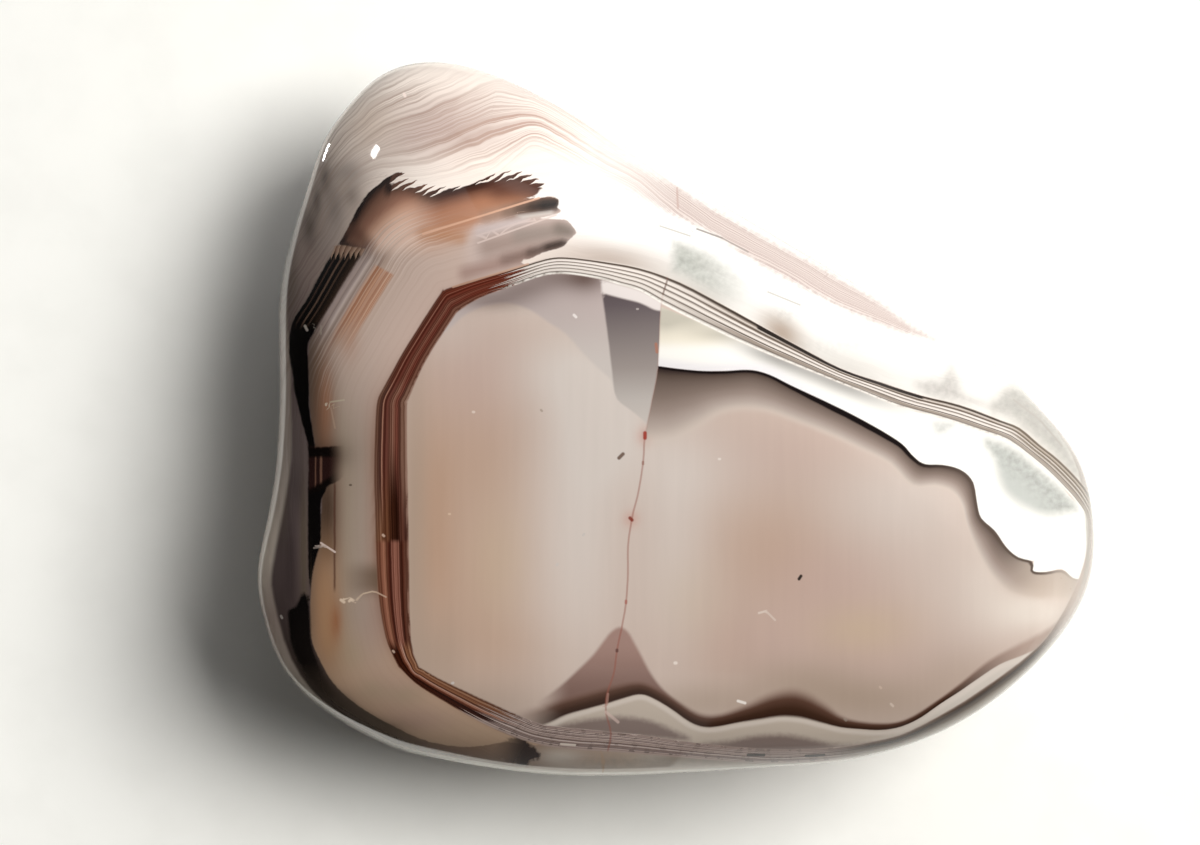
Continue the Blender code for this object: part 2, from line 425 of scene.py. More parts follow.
CLEAR_PATCHES = {
    "behind arch": (
        (670, 236), (670, 236), (692, 243), (716, 253), (738, 266), (760, 284), (778, 302), (760, 308),
        (728, 302), (700, 288), (684, 279), (669, 273), (669, 273),
    ),
    "tip": (
        (985, 440), (1010, 447), (1040, 470), (1076, 505), (1066, 513), (1045, 516), (1024, 508), (1006, 494),
        (998, 478), (994, 460),
    ),
    "notch": ((934, 423), (955, 424), (939, 434)),
    "bump": (
        (914, 384), (930, 380), (943, 378), (951, 366), (958, 380), (966, 396), (990, 405), (960, 402),
        (930, 396),
    ),
    "edge": (
        (1012, 386), (1040, 404), (1062, 430), (1080, 466), (1078, 480), (1050, 452), (1012, 420), (990, 408),
    ),
}
TRAPEZOID = ((343, 569), (362, 566), (383, 570), (385, 590), (368, 592), (352, 592), (344, 586))
FAULT_BOX = (
    (308, 446), (308, 446), (322, 447), (335, 446), (346, 448), (348, 464), (342, 478), (332, 484),
    (322, 490), (309, 494), (309, 494),
)

# Places that tell which side of a line is meant, and the points that close the left zone behind the arch.
ROOM_FLOOR = (780, 600)
ROOM_HEART = (780, 500)
TIP_ROOM = (900, 500)
LILAC_CORNER = (600, 300)
ARCH_FOOT = (400, 500)
LOBE_TOP = (500, 60)
PAST_LOBE = (500, 20)
BEHIND_ARCH = ((600, 745), (600, 745), (600, 300), (600, 300))
CLOSED_SHAPES = {
    "left_zone": WALL + BEHIND_ARCH + FINGER_TIPS[::-1], "wedge": WEDGE, "cream": CREAM, "block": BLOCK,
    "white_gap": WHITE_GAP, "pink_band": PINK_BAND, "black_strip": BLACK_LEFT + BLACK_RIGHT[::-1],
    "fault_box": FAULT_BOX, "crescent": CRESCENT, "dark_blob": DARK_BLOB,
}

# Where one look passes into another: across or down the picture, from which pixel and to which.
FADES = {
    "frost behind arch": ("x", 775, 680), "mist behind arch": ("x", 762, 680),
    "band paler upwards": ("y", 460, 330), "band tan downwards": ("y", 610, 700),
    "trapezoid": ("x", 330, 385), "right part of head": ("x", 385, 445), "tip of head": ("x", 380, 430),
    "head over band": ("y", 262, 240), "head before fingers": ("x", 470, 410),
    "finger ground upwards": ("y", 300, 260), "finger ground": ("x", 455, 480),
    "warm cream upwards": ("y", 352, 338), "warm cream": ("x", 760, 700), "bluish cream": ("x", 900, 800),
    "pink band": ("x", 600, 690), "tan stripe": ("y", 360, 310), "stripe turns solid": ("y", 318, 332),
    "fault box": ("x", 346, 328), "crescent softens": ("y", 640, 715), "crescent ends": ("x", 445, 390),
    "dark blob": ("x", 488, 526), "painted reflection on lower rim": ("y", 742, 764), "rust lower layers": ("y", 538, 544),
    "redder rust": ("y", 392, 375), "reddest rust": ("y", 306, 290), "rust bend": ("y", 638, 652),
    "uneven grey lines": ("x", 650, 760), "earthy grey lines": ("x", 1000, 1030),
    "right foot lines": ("x", 800, 880), "pale foot at tip": ("x", 1030, 1080),
    "grey lines over foot lines": ("y", 590, 500), "end of rust upwards": ("y", 640, 560),
    "edge at tip": ("x", 1074, 1083), "lilac pales": ("y", 300, 370), "pale shade at tip": ("x", 990, 1045),
    "dark line ends": ("x", 1085, 1030), "dark line greys": ("x", 900, 985), "wedge darkens": ("y", 640, 700),
    "wedge": ("x", 532, 572), "pale layer warms": ("x", 860, 960), "pale layer": ("x", 500, 560),
    "wave pales": ("x", 940, 1030), "wave": ("x", 500, 566), "crack strengthens": ("y", 430, 445),
}
# Stretches across or down the picture: first pixel, last pixel and softness.
STRETCHES = {
    "rust thread": ("x", 333.6, 335.6, 1), "rust thread down": ("y", 482, 590, 5),
    "left thread in box": ("x", 315, 316, 0.8), "right thread in box": ("x", 320, 322, 1),
    "bar on box": ("y", 447, 457, 2), "thick grey line": ("x", 757, 923, 2),
    "edge at tip down": ("y", 505, 590, 25), "dark line widens": ("x", 800, 905, 40),
}
# Slanting ends: their slope and the pixels down the picture where they start and end.
TAN_HEAD = (-0.55, 56.5, 60.0)
BOX_FOOT = (0.6, 672.0, 678.0)
RUST_CORE = (-120.0, 425.0, 500.0)
COMB_FOOT = (-8.0, 253.0, 249.0)
# Where the rust layers of the arch end: at the foot and over the top, with the lean of the end at both.
RUST_END = (500.0, 545.0)
RUST_LEAN = (36.0, -12.0)
RUST_STAGGER = 46.0
# The foot of the brown head, a slanting line through one place, and its peak.
HEAD_FOOT = (423.0, 234.0)
HEAD_SLOPE = 0.31
HEAD_PEAK = 391.0
# Starts and lengths, in pixels, of the runs of colour below.
CRESCENT_SPAN = (600.0, 150.0)
BLOCK_SPAN = (290.0, 130.0)
LOBE_LENGTH = 1000.0
STRIPE_REACH = 120.0
LEFT_WALL = ((300, 350, 40, 200, 1.0),)

# The crown is lit a little above full, so the stone's own colours are this share of those in the picture.
DAYLIGHT = 0.9


def shade(red, green, blue):
    """A colour as the shaders take it, from its three screen values out of 255."""
    parts = (value / 255.0 for value in (red, green, blue))
    linear = (part / 12.92 if part <= 0.04045 else ((part + 0.055) / 1.055) ** 2.4 for part in parts)
    return (*(DAYLIGHT * part for part in linear), 1.0)


# Soft tints inside the rooms: colour, then place, half-widths in pixels and strength of each bloom.
ROOM_BASE = (206, 186, 174)
ROOM_TINTS = (
    ((188, 156, 134), (
        (470, 590, 60, 110, 0.65), (430, 520, 26, 130, 0.6), (480, 440, 60, 80, 0.6),
        (780, 550, 80, 75, 0.65), (910, 625, 60, 40, 0.3), (720, 650, 60, 40, 0.35), (520, 650, 60, 40, 0.3),
    )),
    ((196, 168, 158), (
        (480, 370, 60, 60, 0.5), (780, 455, 90, 40, 0.4), (830, 590, 70, 60, 0.6), (900, 660, 90, 40, 0.5),
        (760, 650, 90, 40, 0.4),
    )),
    ((219, 208, 200), (
        (580, 520, 45, 150, 0.85), (610, 420, 45, 60, 0.9), (560, 370, 50, 40, 0.6), (675, 540, 36, 130, 0.6),
        (900, 500, 80, 50, 0.6), (960, 600, 60, 70, 0.35), (700, 470, 60, 40, 0.4), (530, 300, 50, 20, 0.4),
        (450, 330, 40, 30, 0.25),
    )),
    ((226, 214, 203), ((1040, 612, 34, 18, 0.9), (1005, 612, 34, 30, 0.5), (985, 575, 24, 34, 0.4))),
    ((202, 180, 150), ((860, 630, 50, 26, 0.5), (500, 560, 30, 60, 0.3), (690, 600, 30, 40, 0.2))),
    ((166, 146, 128), (
        (414, 540, 14, 190, 0.6), (480, 700, 60, 22, 0.35), (700, 702, 60, 20, 0.5), (860, 700, 90, 26, 0.7),
        (960, 672, 50, 30, 0.35), (440, 655, 26, 40, 0.4), (800, 676, 60, 22, 0.4),
    )),
    ((200, 140, 124), ((645, 436, 8, 9, 0.5), (631, 519, 8, 8, 0.45), (612, 716, 8, 8, 0.5))),
)

# Colours round the outside of the arch, by compass bearing from the middle of the pattern.
MIDDLE = (640, 460)
OUTER_RING = (
    (-180, (116, 102, 100)), (-165, (98, 84, 83)), (-150, (76, 63, 58)), (-135, (84, 71, 62)),
    (-120, (130, 104, 86)), (-105, (166, 142, 124)), (-90, (190, 170, 152)), (-75, (184, 168, 152)),
    (-60, (168, 156, 142)), (-40, (200, 190, 177)), (-20, (216, 209, 199)), (0, (230, 225, 217)),
    # From 20 to 96 degrees near white: partly the stone's white layers, partly painted window glare on the
    # slope.
    (20, (246, 243, 238)), (40, (254, 252, 248)), (96, (254, 251, 247)), (108, (252, 241, 233)),
    # From 118 to 138 degrees the lobe's shaded side is painted lighter, standing in for light that misses it.
    (118, (250, 236, 226)), (128, (255, 244, 234)), (138, (236, 217, 205)), (147, (156, 138, 130)),
    (160, (122, 106, 103)), (180, (116, 102, 100)),
)
OUTER_TINTS = (
    ((194, 172, 164), ((455, 126, 64, 36, 0.9), (400, 140, 34, 24, 0.4))),
    # The lobe's shaded left side painted lighter, standing in for light.
    ((236, 216, 200), ((370, 124, 26, 28, 0.75),)),
    ((253, 240, 230), ((430, 80, 50, 14, 0.9), (500, 165, 60, 14, 0.7), (560, 120, 40, 40, 0.5))),
    ((150, 139, 133), ((334, 210, 11, 26, 0.8), (322, 245, 10, 14, 0.4), (350, 172, 16, 12, 0.6))),
    ((104, 90, 80), ((352, 196, 9, 12, 0.5), (326, 178, 10, 20, 0.4), (312, 220, 10, 22, 0.5))),
    ((62, 52, 47), ((325, 178, 5, 14, 0.6), (317, 200, 5, 16, 0.7), (309, 228, 6, 16, 0.6))),
    # Near white on the slope: partly white stone, partly painted window glare.
    ((252, 250, 247), ((600, 215, 60, 26, 0.9), (660, 200, 60, 20, 0.6))),
    ((204, 192, 180), (
        (560, 757, 24, 9, 0.9), (655, 758, 20, 7, 0.7), (690, 766, 40, 4, 0.6), (600, 768, 60, 4, 0.5),
    )),
    ((116, 106, 94), ((450, 762, 40, 8, 0.4), (700, 758, 60, 8, 0.5), (500, 765, 30, 5, 0.4))),
    ((60, 50, 50), ((290, 590, 10, 40, 0.7), (298, 490, 8, 30, 0.4), (290, 545, 9, 30, 0.5))),
    ((92, 82, 60), ((304, 545, 4, 70, 0.6), (292, 280, 6, 30, 0.3), (283, 500, 5, 40, 0.3))),
)
# Washes of colour that fade away from the arch, over its outer line and under its inner one.
OVER_ARCH = (
    ((178, 160, 148), ((615, 250, 70, 50, 0.85),)),
    ((176, 168, 158), ((705, 290, 46, 40, 0.6), (850, 360, 60, 40, 0.5))),
    ((156, 132, 112), ((784, 322, 26, 40, 0.9),)),
)
UNDER_ARCH = (
    ((150, 146, 142), ((840, 388, 66, 40, 0.8), (770, 356, 44, 30, 0.7))),
)

# The rim's painted sheen, the light the polished edge catches, paler on the shaded left: compass bearing,
# width in pixels and colour.
RIM_SHEEN = (
    (-180, 15.0, (196, 182, 172)), (-165, 15.0, (226, 212, 198)), (-157, 13.0, (196, 176, 166)),
    (-150, 11.0, (208, 192, 180)), (-144, 7.0, (196, 186, 172)), (-135, 6.0, (186, 177, 164)),
    (-115, 4.0, (206, 198, 182)), (-90, 3.0, (214, 206, 192)), (-60, 5.0, (150, 144, 128)),
    (-35, 5.0, (150, 142, 126)), (-15, 5.0, (160, 150, 142)), (0, 5.0, (170, 160, 152)),
    (14, 1.0, (240, 236, 230)), (130, 1.0, (170, 160, 150)), (150, 4.0, (124, 115, 106)),
    (163, 12.0, (184, 168, 158)), (180, 15.0, (196, 182, 172)),
)
CLEAR_TINTS = {
    "behind arch": (196, 197, 190),
    "tip": (184, 186, 181),
    "notch": (206, 206, 202),
    "bump": (196, 190, 185),
    "edge": (178, 174, 168),
}
# How strongly frost and mist show in each clear patch, and from how far inside its edge to how far.
FROST = {
    "behind arch": (1.0, -4.0, 12.0), "tip": (1.0, -9.0, 9.0), "notch": (1.0, -9.0, 9.0),
    "bump": (0.8, -8.0, 11.0), "edge": (0.8, -8.0, 11.0),
}
MIST = {
    "behind arch": (0.7, -4.0, 12.0), "tip": (1.0, -6.0, 8.0), "notch": (0.5, -5.0, 8.0),
    "bump": (0.5, -5.0, 8.0), "edge": (0.5, -5.0, 8.0),
}
TIP_MIST = (-42.0, -4.0)

# The pale band left of the arch, from its outer wall to the arch, and soft patches in it.
BAND_ACROSS = (
    (0.0, (104, 88, 78)), (0.12, (118, 95, 80)), (0.3, (146, 124, 108)), (0.5, (154, 138, 122)),
    (0.75, (158, 141, 128)), (0.93, (156, 132, 118)), (1.0, (140, 110, 95)),
)
BAND_TINTS = (
    ((112, 84, 67), ((322, 415, 10, 46, 0.85),)),
    ((66, 50, 40), ((327, 514, 11, 44, 1.0), (328, 455, 20, 14, 0.7))),
    ((84, 62, 48), ((328, 548, 7, 16, 0.7),)),
    ((158, 122, 92), ((326, 596, 16, 50, 0.9), (330, 645, 16, 30, 0.6))),
    ((142, 90, 58), ((336, 622, 5, 18, 0.8),)),
    ((178, 124, 94), ((350, 335, 9, 22, 0.5), (326, 400, 7, 40, 0.5))),
    ((163, 146, 140), ((350, 285, 8, 26, 0.5), (368, 262, 10, 14, 0.6))),
    ((160, 132, 122), ((395, 690, 40, 22, 0.5), (370, 640, 20, 40, 0.3), (420, 720, 40, 14, 0.5))),
    ((150, 138, 112), ((372, 690, 16, 12, 0.35), (350, 655, 14, 20, 0.3), (405, 695, 20, 10, 0.35))),
    ((90, 78, 66), ((335, 700, 16, 10, 0.5), (370, 728, 30, 7, 0.6), (430, 752, 40, 6, 0.2))),
)
HEAD_LEFT = (
    (0, (196, 172, 158)), (40, (216, 194, 180)), (62, (236, 208, 192)), (74, (236, 204, 186)),
    (84, (230, 190, 168)), (92, (200, 156, 132)), (98, (158, 114, 95)), (110, (122, 86, 70)),
    (120, (108, 74, 60)),
)
HEAD_TOP = ((0.0, 0.62), (3.0, 0.3), (9.0, 0.0))
HEAD_EDGE = ((0.0, 1.0), (3.5, 0.95), (6.0, 0.5), (11.0, 0.0))
HEAD_RIGHT = (
    (0, (44, 28, 24)), (5, (76, 46, 36)), (11, (136, 92, 72)), (18, (172, 120, 93)), (26, (180, 130, 103)),
    (40, (190, 140, 112)), (52, (204, 162, 139)),
)
CREAM_TINTS = (
    ((192, 186, 172), ((684, 318, 34, 13, 1.0), (726, 334, 34, 8, 0.8), (662, 318, 12, 16, 0.6))),
)

# Runs of colour across or along the layers, as pairs of place and colour.
LOBE_ALONG = (
    (0.30, (124, 104, 92)), (0.36, (206, 182, 168)), (0.42, (168, 144, 132)), (0.52, (186, 152, 138)),
    (0.62, (222, 190, 176)), (0.80, (228, 212, 204)),
)
STRIPE_ROWS = (
    (0.30, (196, 176, 163)), (0.38, (198, 174, 158)), (0.42, (194, 168, 152)), (0.47, (200, 176, 160)),
    (0.49, (184, 160, 146)), (0.53, (196, 172, 156)), (0.56, (150, 124, 112)), (0.58, (196, 176, 166)),
    (0.61, (158, 138, 128)), (0.64, (206, 188, 180)), (0.67, (150, 132, 128)), (0.70, (178, 160, 154)),
    (0.73, (126, 108, 104)), (0.76, (96, 76, 68)),
)
BLACK_ACROSS = (
    (0.0, (8, 6, 6)), (0.12, (8, 6, 6)), (0.18, (70, 52, 44)), (0.24, (8, 6, 6)), (0.36, (8, 6, 6)),
    (0.42, (110, 86, 72)), (0.48, (12, 9, 8)), (0.58, (14, 10, 8)), (0.64, (80, 60, 48)),
    (0.70, (20, 14, 11)), (0.85, (44, 31, 22)), (0.93, (52, 38, 30)), (1.0, (90, 74, 68)),
)
CRESCENT_DOWN = (
    (0.0, (10, 8, 8)), (0.42, (22, 17, 15)), (0.62, (62, 51, 43)), (0.8, (92, 79, 68)), (1.0, (112, 98, 84)),
)
RUST_UPPER = (
    (0.0, (134, 102, 86)), (0.1, (116, 84, 70)), (0.16, (66, 40, 33)), (0.2, (80, 46, 38)),
    (0.23, (168, 122, 102)), (0.27, (92, 50, 41)), (0.38, (104, 60, 50)), (0.48, (122, 84, 70)),
    (0.55, (142, 102, 86)), (0.61, (136, 88, 73)), (0.68, (122, 70, 58)), (0.76, (88, 55, 45)),
    (0.85, (132, 98, 82)), (1.0, (150, 120, 105)),
)
RUST_MIDDLE = (
    (0.0, (130, 95, 68)), (0.15, (140, 100, 76)), (0.22, (92, 56, 36)), (0.32, (112, 72, 50)),
    (0.42, (92, 56, 38)), (0.5, (62, 32, 20)), (0.68, (42, 18, 10)), (0.75, (84, 50, 40)),
    (0.82, (96, 58, 46)), (0.9, (84, 50, 42)), (1.0, (140, 110, 96)),
)
RUST_LOWER = (
    (0.0, (135, 95, 75)), (0.15, (125, 78, 60)), (0.26, (160, 110, 88)), (0.36, (84, 42, 30)),
    (0.42, (66, 28, 18)), (0.48, (140, 92, 78)), (0.6, (152, 102, 86)), (0.68, (140, 92, 78)),
    (0.74, (62, 30, 20)), (0.82, (84, 44, 32)), (0.9, (112, 74, 60)), (1.0, (150, 120, 105)),
)
RUST_BEND = (
    (0.0, (130, 88, 66)), (0.08, (64, 28, 15)), (0.3, (48, 18, 8)), (0.4, (96, 50, 32)),
    (0.47, (170, 118, 96)), (0.54, (196, 156, 138)), (0.6, (74, 38, 25)), (0.68, (148, 102, 74)),
    (0.78, (124, 80, 57)), (0.87, (164, 122, 94)), (0.94, (92, 58, 43)), (1.0, (150, 120, 105)),
)
GREY_LINES = (
    (0.0, (232, 224, 216)), (0.04, (84, 72, 64)), (0.09, (88, 76, 68)), (0.15, (224, 214, 206)),
    (0.23, (236, 227, 220)), (0.28, (104, 90, 80)), (0.33, (224, 214, 206)), (0.41, (236, 228, 221)),
    (0.46, (96, 83, 73)), (0.51, (224, 214, 206)), (0.60, (236, 228, 221)), (0.66, (108, 95, 85)),
    (0.71, (222, 213, 205)), (0.80, (234, 226, 219)), (0.86, (104, 91, 81)), (0.92, (236, 231, 224)),
    (1.0, (244, 240, 233)),
)
FOOT_RIGHT = (
    (0.0, (176, 168, 156)), (0.3, (150, 138, 124)), (0.5, (92, 78, 66)), (0.72, (58, 46, 40)),
    (0.9, (96, 78, 66)), (1.0, (150, 132, 120)),
)
BLOCK_DOWN = (
    (0.0, (84, 74, 76)), (0.12, (98, 88, 90)), (0.6, (158, 148, 143)), (0.85, (192, 184, 178)),
    (1.0, (202, 193, 186)),
)
DARK_ACROSS = (
    (0.0, (45, 35, 34)), (0.06, (62, 50, 46)), (0.12, (88, 74, 66)), (0.22, (108, 93, 85)),
    (0.42, (132, 116, 107)), (0.6, (154, 138, 129)), (0.8, (182, 167, 158)), (1.0, (210, 196, 185)),
)
WAVE_ACROSS = (
    (0.0, (50, 30, 21)), (0.25, (64, 41, 29)), (0.5, (88, 61, 49)), (0.75, (118, 89, 77)),
    (1.0, (144, 116, 105)),
)

# Single colours, as screen values.
PIGMENTS = {
    "pale head of band": (210, 186, 174), "tan foot of band": (190, 160, 134), "trapezoid": (98, 80, 64),
    "line round head": (36, 24, 21), "finger ground": (206, 186, 178), "cream": (250, 247, 241),
    "warm cream": (240, 232, 215), "bluish cream": (228, 224, 230), "growth rings": (150, 128, 118),
    "pink band": (220, 204, 198), "pink band line": (180, 155, 148), "tan stripe": (172, 118, 88),
    "tan stripe line": (200, 152, 122), "pale line in band": (234, 214, 202),
    "dim line in band": (130, 100, 86), "rust thread": (76, 44, 34), "black": (8, 6, 6),
    "streak in black": (84, 70, 56), "comb": (112, 82, 66), "tip of comb": (178, 148, 128),
    "fault box": (40, 22, 20), "thread in box": (126, 92, 76), "bar on box": (12, 7, 6),
    "dark blob": (54, 40, 34), "painted reflection on lower rim": (250, 244, 230), "redder rust": (100, 42, 28),
    "reddest rust": (116, 50, 34), "threads in rust": (176, 150, 138), "thick grey line": (58, 48, 42),
    "uneven grey lines": (188, 180, 172), "earthy grey": (146, 130, 108), "earthy thread": (98, 82, 66),
    "threads in grey": (208, 200, 194), "layer in foot": (134, 114, 108),
    "pale layer in foot": (202, 184, 176), "cut in foot": (70, 54, 48), "threads in foot": (196, 180, 170),
    "foot at tip": (186, 168, 156), "edge at tip": (160, 152, 142), "lilac": (188, 174, 171),
    "pale lilac": (205, 196, 190), "arch shadow": (78, 54, 45), "white gap": (224, 215, 211),
    "shade at tip": (206, 190, 176), "dark line": (24, 17, 17), "greyed dark line": (92, 78, 70),
    "mist": (138, 138, 131), "wedge": (164, 134, 124), "dark wedge": (126, 99, 90),
    "pale layer": (194, 180, 166), "warm pale layer": (210, 200, 190), "lens": (132, 115, 108),
    "line under wave": (222, 210, 200), "pale wave": (176, 154, 142), "crack": (150, 88, 74),
}
ROOM_CLOUD = (0.955, 0.955, 0.955, 1.0)

# Growth lines: how close they lie, how far they waver, their contrast, and the levels where they show.
GROWTH = {
    "broad in lobe": (8.0, 1.6, 3.0, 0.44, 0.62),
    "fine in lobe": (23.0, 3.0, 3.0, 0.46, 0.66),
    "rings": (0.16, 2.5, 3.0, 0.4, 0.7),
    "fine rings": (0.6, 4.0, 3.0, 0.4, 0.75),
    "pink band": (34.0, 5.0, 3.0, 0.42, 0.62),
    "tan stripe": (0.4, 1.0, 3.0, 0.4, 0.6),
    "pale in band": (0.36, 1.6, 3.0, 0.48, 0.72),
    "dim in band": (0.3, 2.0, 3.0, 0.5, 0.75),
    "black streaks": (0.5, 1.0, 3.0, 0.42, 0.6),
    "threads in arch": (15.0, 0.8, 4.0, 0.35, 0.65),
    "uneven in arch": (6.0, 0.6, 3.0, 0.4, 0.6),
    "layers in foot": (13.0, 1.2, 3.0, 0.42, 0.6),
}
OTHER_ROWS = 400.0
CUT_LINES = (24.0, 0.3)
RUST_END_LINES = (11.0, 0.2)

# Edges of the traced shapes: how soft and how ragged they are, in pixels.
PLAIN_EDGE = (2.0, 0.0)
EDGES = {
    "pink_band": (10.0, 8.0), "black_strip": (2.0, 1.5), "fault_box": (2.5, 2.0), "crescent": (4.0, 2.0),
    "dark_blob": (4.0, 7.0), "crack": (1.6, 0.0), "lilac": (5.0, 0.0), "white_gap": (4.0, 0.0),
    "block": (3.0, 0.0), "cream": (1.6, 0.0), "wedge": (5.0, 0.0), "wave": (2.5, 0.0), "lens": (9.0, 3.0),
    "left_zone": (1.6, 1.5),
}
# Bands along a value: where they start and end, and their softness.
BANDS = {
    "tan stripe": (49.0, 70.0, 2.0), "painted reflection on lower rim": (0.5, 2.0, 0.8), "edge at tip": (2.5, 6.5, 1.5),
    "thick grey line": (0.02, 0.2, 0.03), "line under wave": (-5.5, -1.0, 2.0),
    "cut in foot": (0.3, 0.5, 0.05),
}
# Levels along a value between which a look comes or goes.
LEVELS = {
    "lobe starts": (-0.6, -0.2), "lobe ends": (1.5, 1.1), "lines end in band": (92.0, 82.0),
    "earthy lines end": (0.75, 0.5), "flecks": (0.6, 0.75), "end of rust": (-4.0, 4.0),
    "shade ends": (1.15, 0.85), "shade starts": (-1.0, 1.0), "dark line starts": (-0.8, 0.8),
    "dark line ends": (1.0, -1.0), "wave starts": (-0.08, 0.06), "wave ends": (0.98, 0.5),
    "hairline": (1.5, 0.4), "mark": (1.0, 0.35), "rim": (-1.15, -0.8), "rim ends below": (-0.6, -0.3),
    "pale head": (4.0, 40.0), "trapezoid": (-10.0, 9.0), "foot of head": (-26.0, 0.0),
    "over dark line": (-12.0, -3.0), "upper side": (-0.35, -0.15), "lined side": (-0.5, -0.1),
    "wall": (0.02, 0.3), "wash over arch": (34.0, 2.0), "wash under arch": (17.0, 1.0),
}
# Cloudiness: the plan that it is laid over, its size in pixels and its contrast.
CLOUDS = {
    "room": ("streaked", 8.0, 1.5), "flecks": ("plan", 9.0, 3.0), "mist": ("plan", 6.0, 2.6),
    "polish": ("plan", 3.0, 1.0),
}
# Rows of teeth: how far they slant, and the pixels from one to the next.
TEETH = {"flames": (1.5, 13.0), "comb": (0.5, 5.0)}
FLAME_FOOT = 0.2
FLAME_REACH = 13.0

# How strong the thin layers of colour are, where they aren't full.
STRENGTHS = {
    "pale line in band": 0.5, "rust thread": 0.75, "streak in black": 0.9, "thread in box": 0.8,
    "painted reflection on lower rim": 0.95, "redder rust": 0.4, "reddest rust": 0.5, "threads in rust": 0.75,
    "earthy grey": 0.45, "earthy thread": 0.8, "threads in grey": 0.3, "cut in foot": 0.7,
    "threads in foot": 0.6, "edge at tip": 0.8, "shade at tip": 0.75, "mist": 0.65, "tan stripe": 0.85,
    "lilac": 0.9, "line under wave": 0.6, "rim": 0.9, "pale head of band": 0.8, "tan foot of band": 0.85,
    "trapezoid": 0.9, "bluish cream": 0.6,
}
LOBE_SHARES = (0.42, 0.5)
RING_SHARES = (0.6, 0.4)
RING_FALL = 1.3
# How strong the growth rings are on the top and how much more on the walls and on the left wall.
RING_STRENGTHS = (0.06, 0.56, 0.25)
FINGER_SOFTNESS = 1.7
RUST_MIDLINE = 0.58
CRACK_END = 3.0

# Least and greatest shares and widths.
PINK_SHARE = (0.2, 0.9)
DIM_SHARE = (0.04, 0.24)
CRACK_SHARE = (0.15, 0.5)
CRESCENT_SOFTNESS = (4.0, 16.0)
DARK_LINE_WIDTH = (2.6, 5.6)

# Soft strokes where the band ends in fingers: colour, from, to, half-width and strength.
FINGERS = (
    ((98, 66, 54), (351, 230), (368, 245), 8.0, 0.75),
    ((92, 58, 47), (500, 188), (532, 187), 13.0, 0.8),
    ((206, 192, 190), (480, 231), (522, 219), 7.0, 0.85),
    ((168, 148, 139), (488, 247), (556, 231), 12.0, 1.0),
    ((150, 138, 130), (520, 235), (566, 230), 9.0, 0.7),
    ((118, 108, 100), (560, 229), (570, 232), 7.0, 0.7),
    ((164, 136, 126), (466, 273), (530, 255), 8.0, 0.9),
    ((132, 110, 102), (505, 260), (556, 246), 6.0, 0.8),
    ((96, 80, 74), (530, 253), (562, 244), 5.0, 0.85),
    ((62, 52, 48), (547, 247), (564, 243), 4.0, 0.85),
    ((164, 136, 120), (486, 217), (528, 208), 7.0, 0.85),
    ((128, 106, 94), (508, 212), (548, 206), 7.0, 0.8),
    ((92, 76, 68), (521, 209), (552, 205), 7.0, 0.8),
    ((58, 47, 43), (533, 206), (555, 204), 6.5, 0.85),
    ((36, 29, 27), (544, 205), (556, 203), 6.0, 0.95),
    ((222, 214, 208), (520, 217), (552, 212.5), 2.2, 0.7),
    ((186, 136, 102), (424, 234), (460, 238), 7.0, 0.75),
)
# Where fine lines show: place, half-widths in pixels and strength.
LINED = (
    (450, 130, 80, 36, 1.0), (560, 130, 60, 42, 0.7), (345, 150, 44, 50, 0.6), (640, 185, 60, 30, 0.5),
    (390, 92, 40, 22, 0.6), (740, 250, 90, 34, 0.12), (500, 108, 44, 20, 0.55), (320, 200, 20, 50, 0.5),
)
STRIPED = ((356, 285, 26, 30, 1.0), (338, 315, 24, 30, 1.0), (372, 268, 18, 12, 0.6))
LINED_BAND = (
    (385, 245, 34, 36, 0.9), (425, 238, 34, 18, 0.4), (352, 310, 26, 50, 0.3), (326, 350, 12, 40, 0.5),
)
ARCH_SHADOW = (
    (560, 276, 52, 15, 0.6), (588, 280, 20, 16, 0.4), (492, 301, 40, 9, 0.5), (520, 290, 30, 9, 0.35),
)
TOOTHED = ((416, 188, 30, 18, 1.4), (514, 180, 28, 13, 1.4))
STREAKED = ((303, 606, 8, 34, 1.0), (299, 570, 6, 40, 0.4))
UPPER_SHARES = {
    "line_share": LINED_BAND, "striped_share": STRIPED, "toothed_share": TOOTHED, "streaked_share": STREAKED,
}
MOTTLED = ((610, 762, 40, 8, 0.5), (700, 762, 70, 5, 0.5), (785, 315, 14, 8, 0.4), (840, 345, 50, 8, 0.25))

# How deep below the widest line small marks lie at most, as a share, and how many pixels round they reach.
MARK_DEPTH = 0.03
MARK_REACH = 6.0
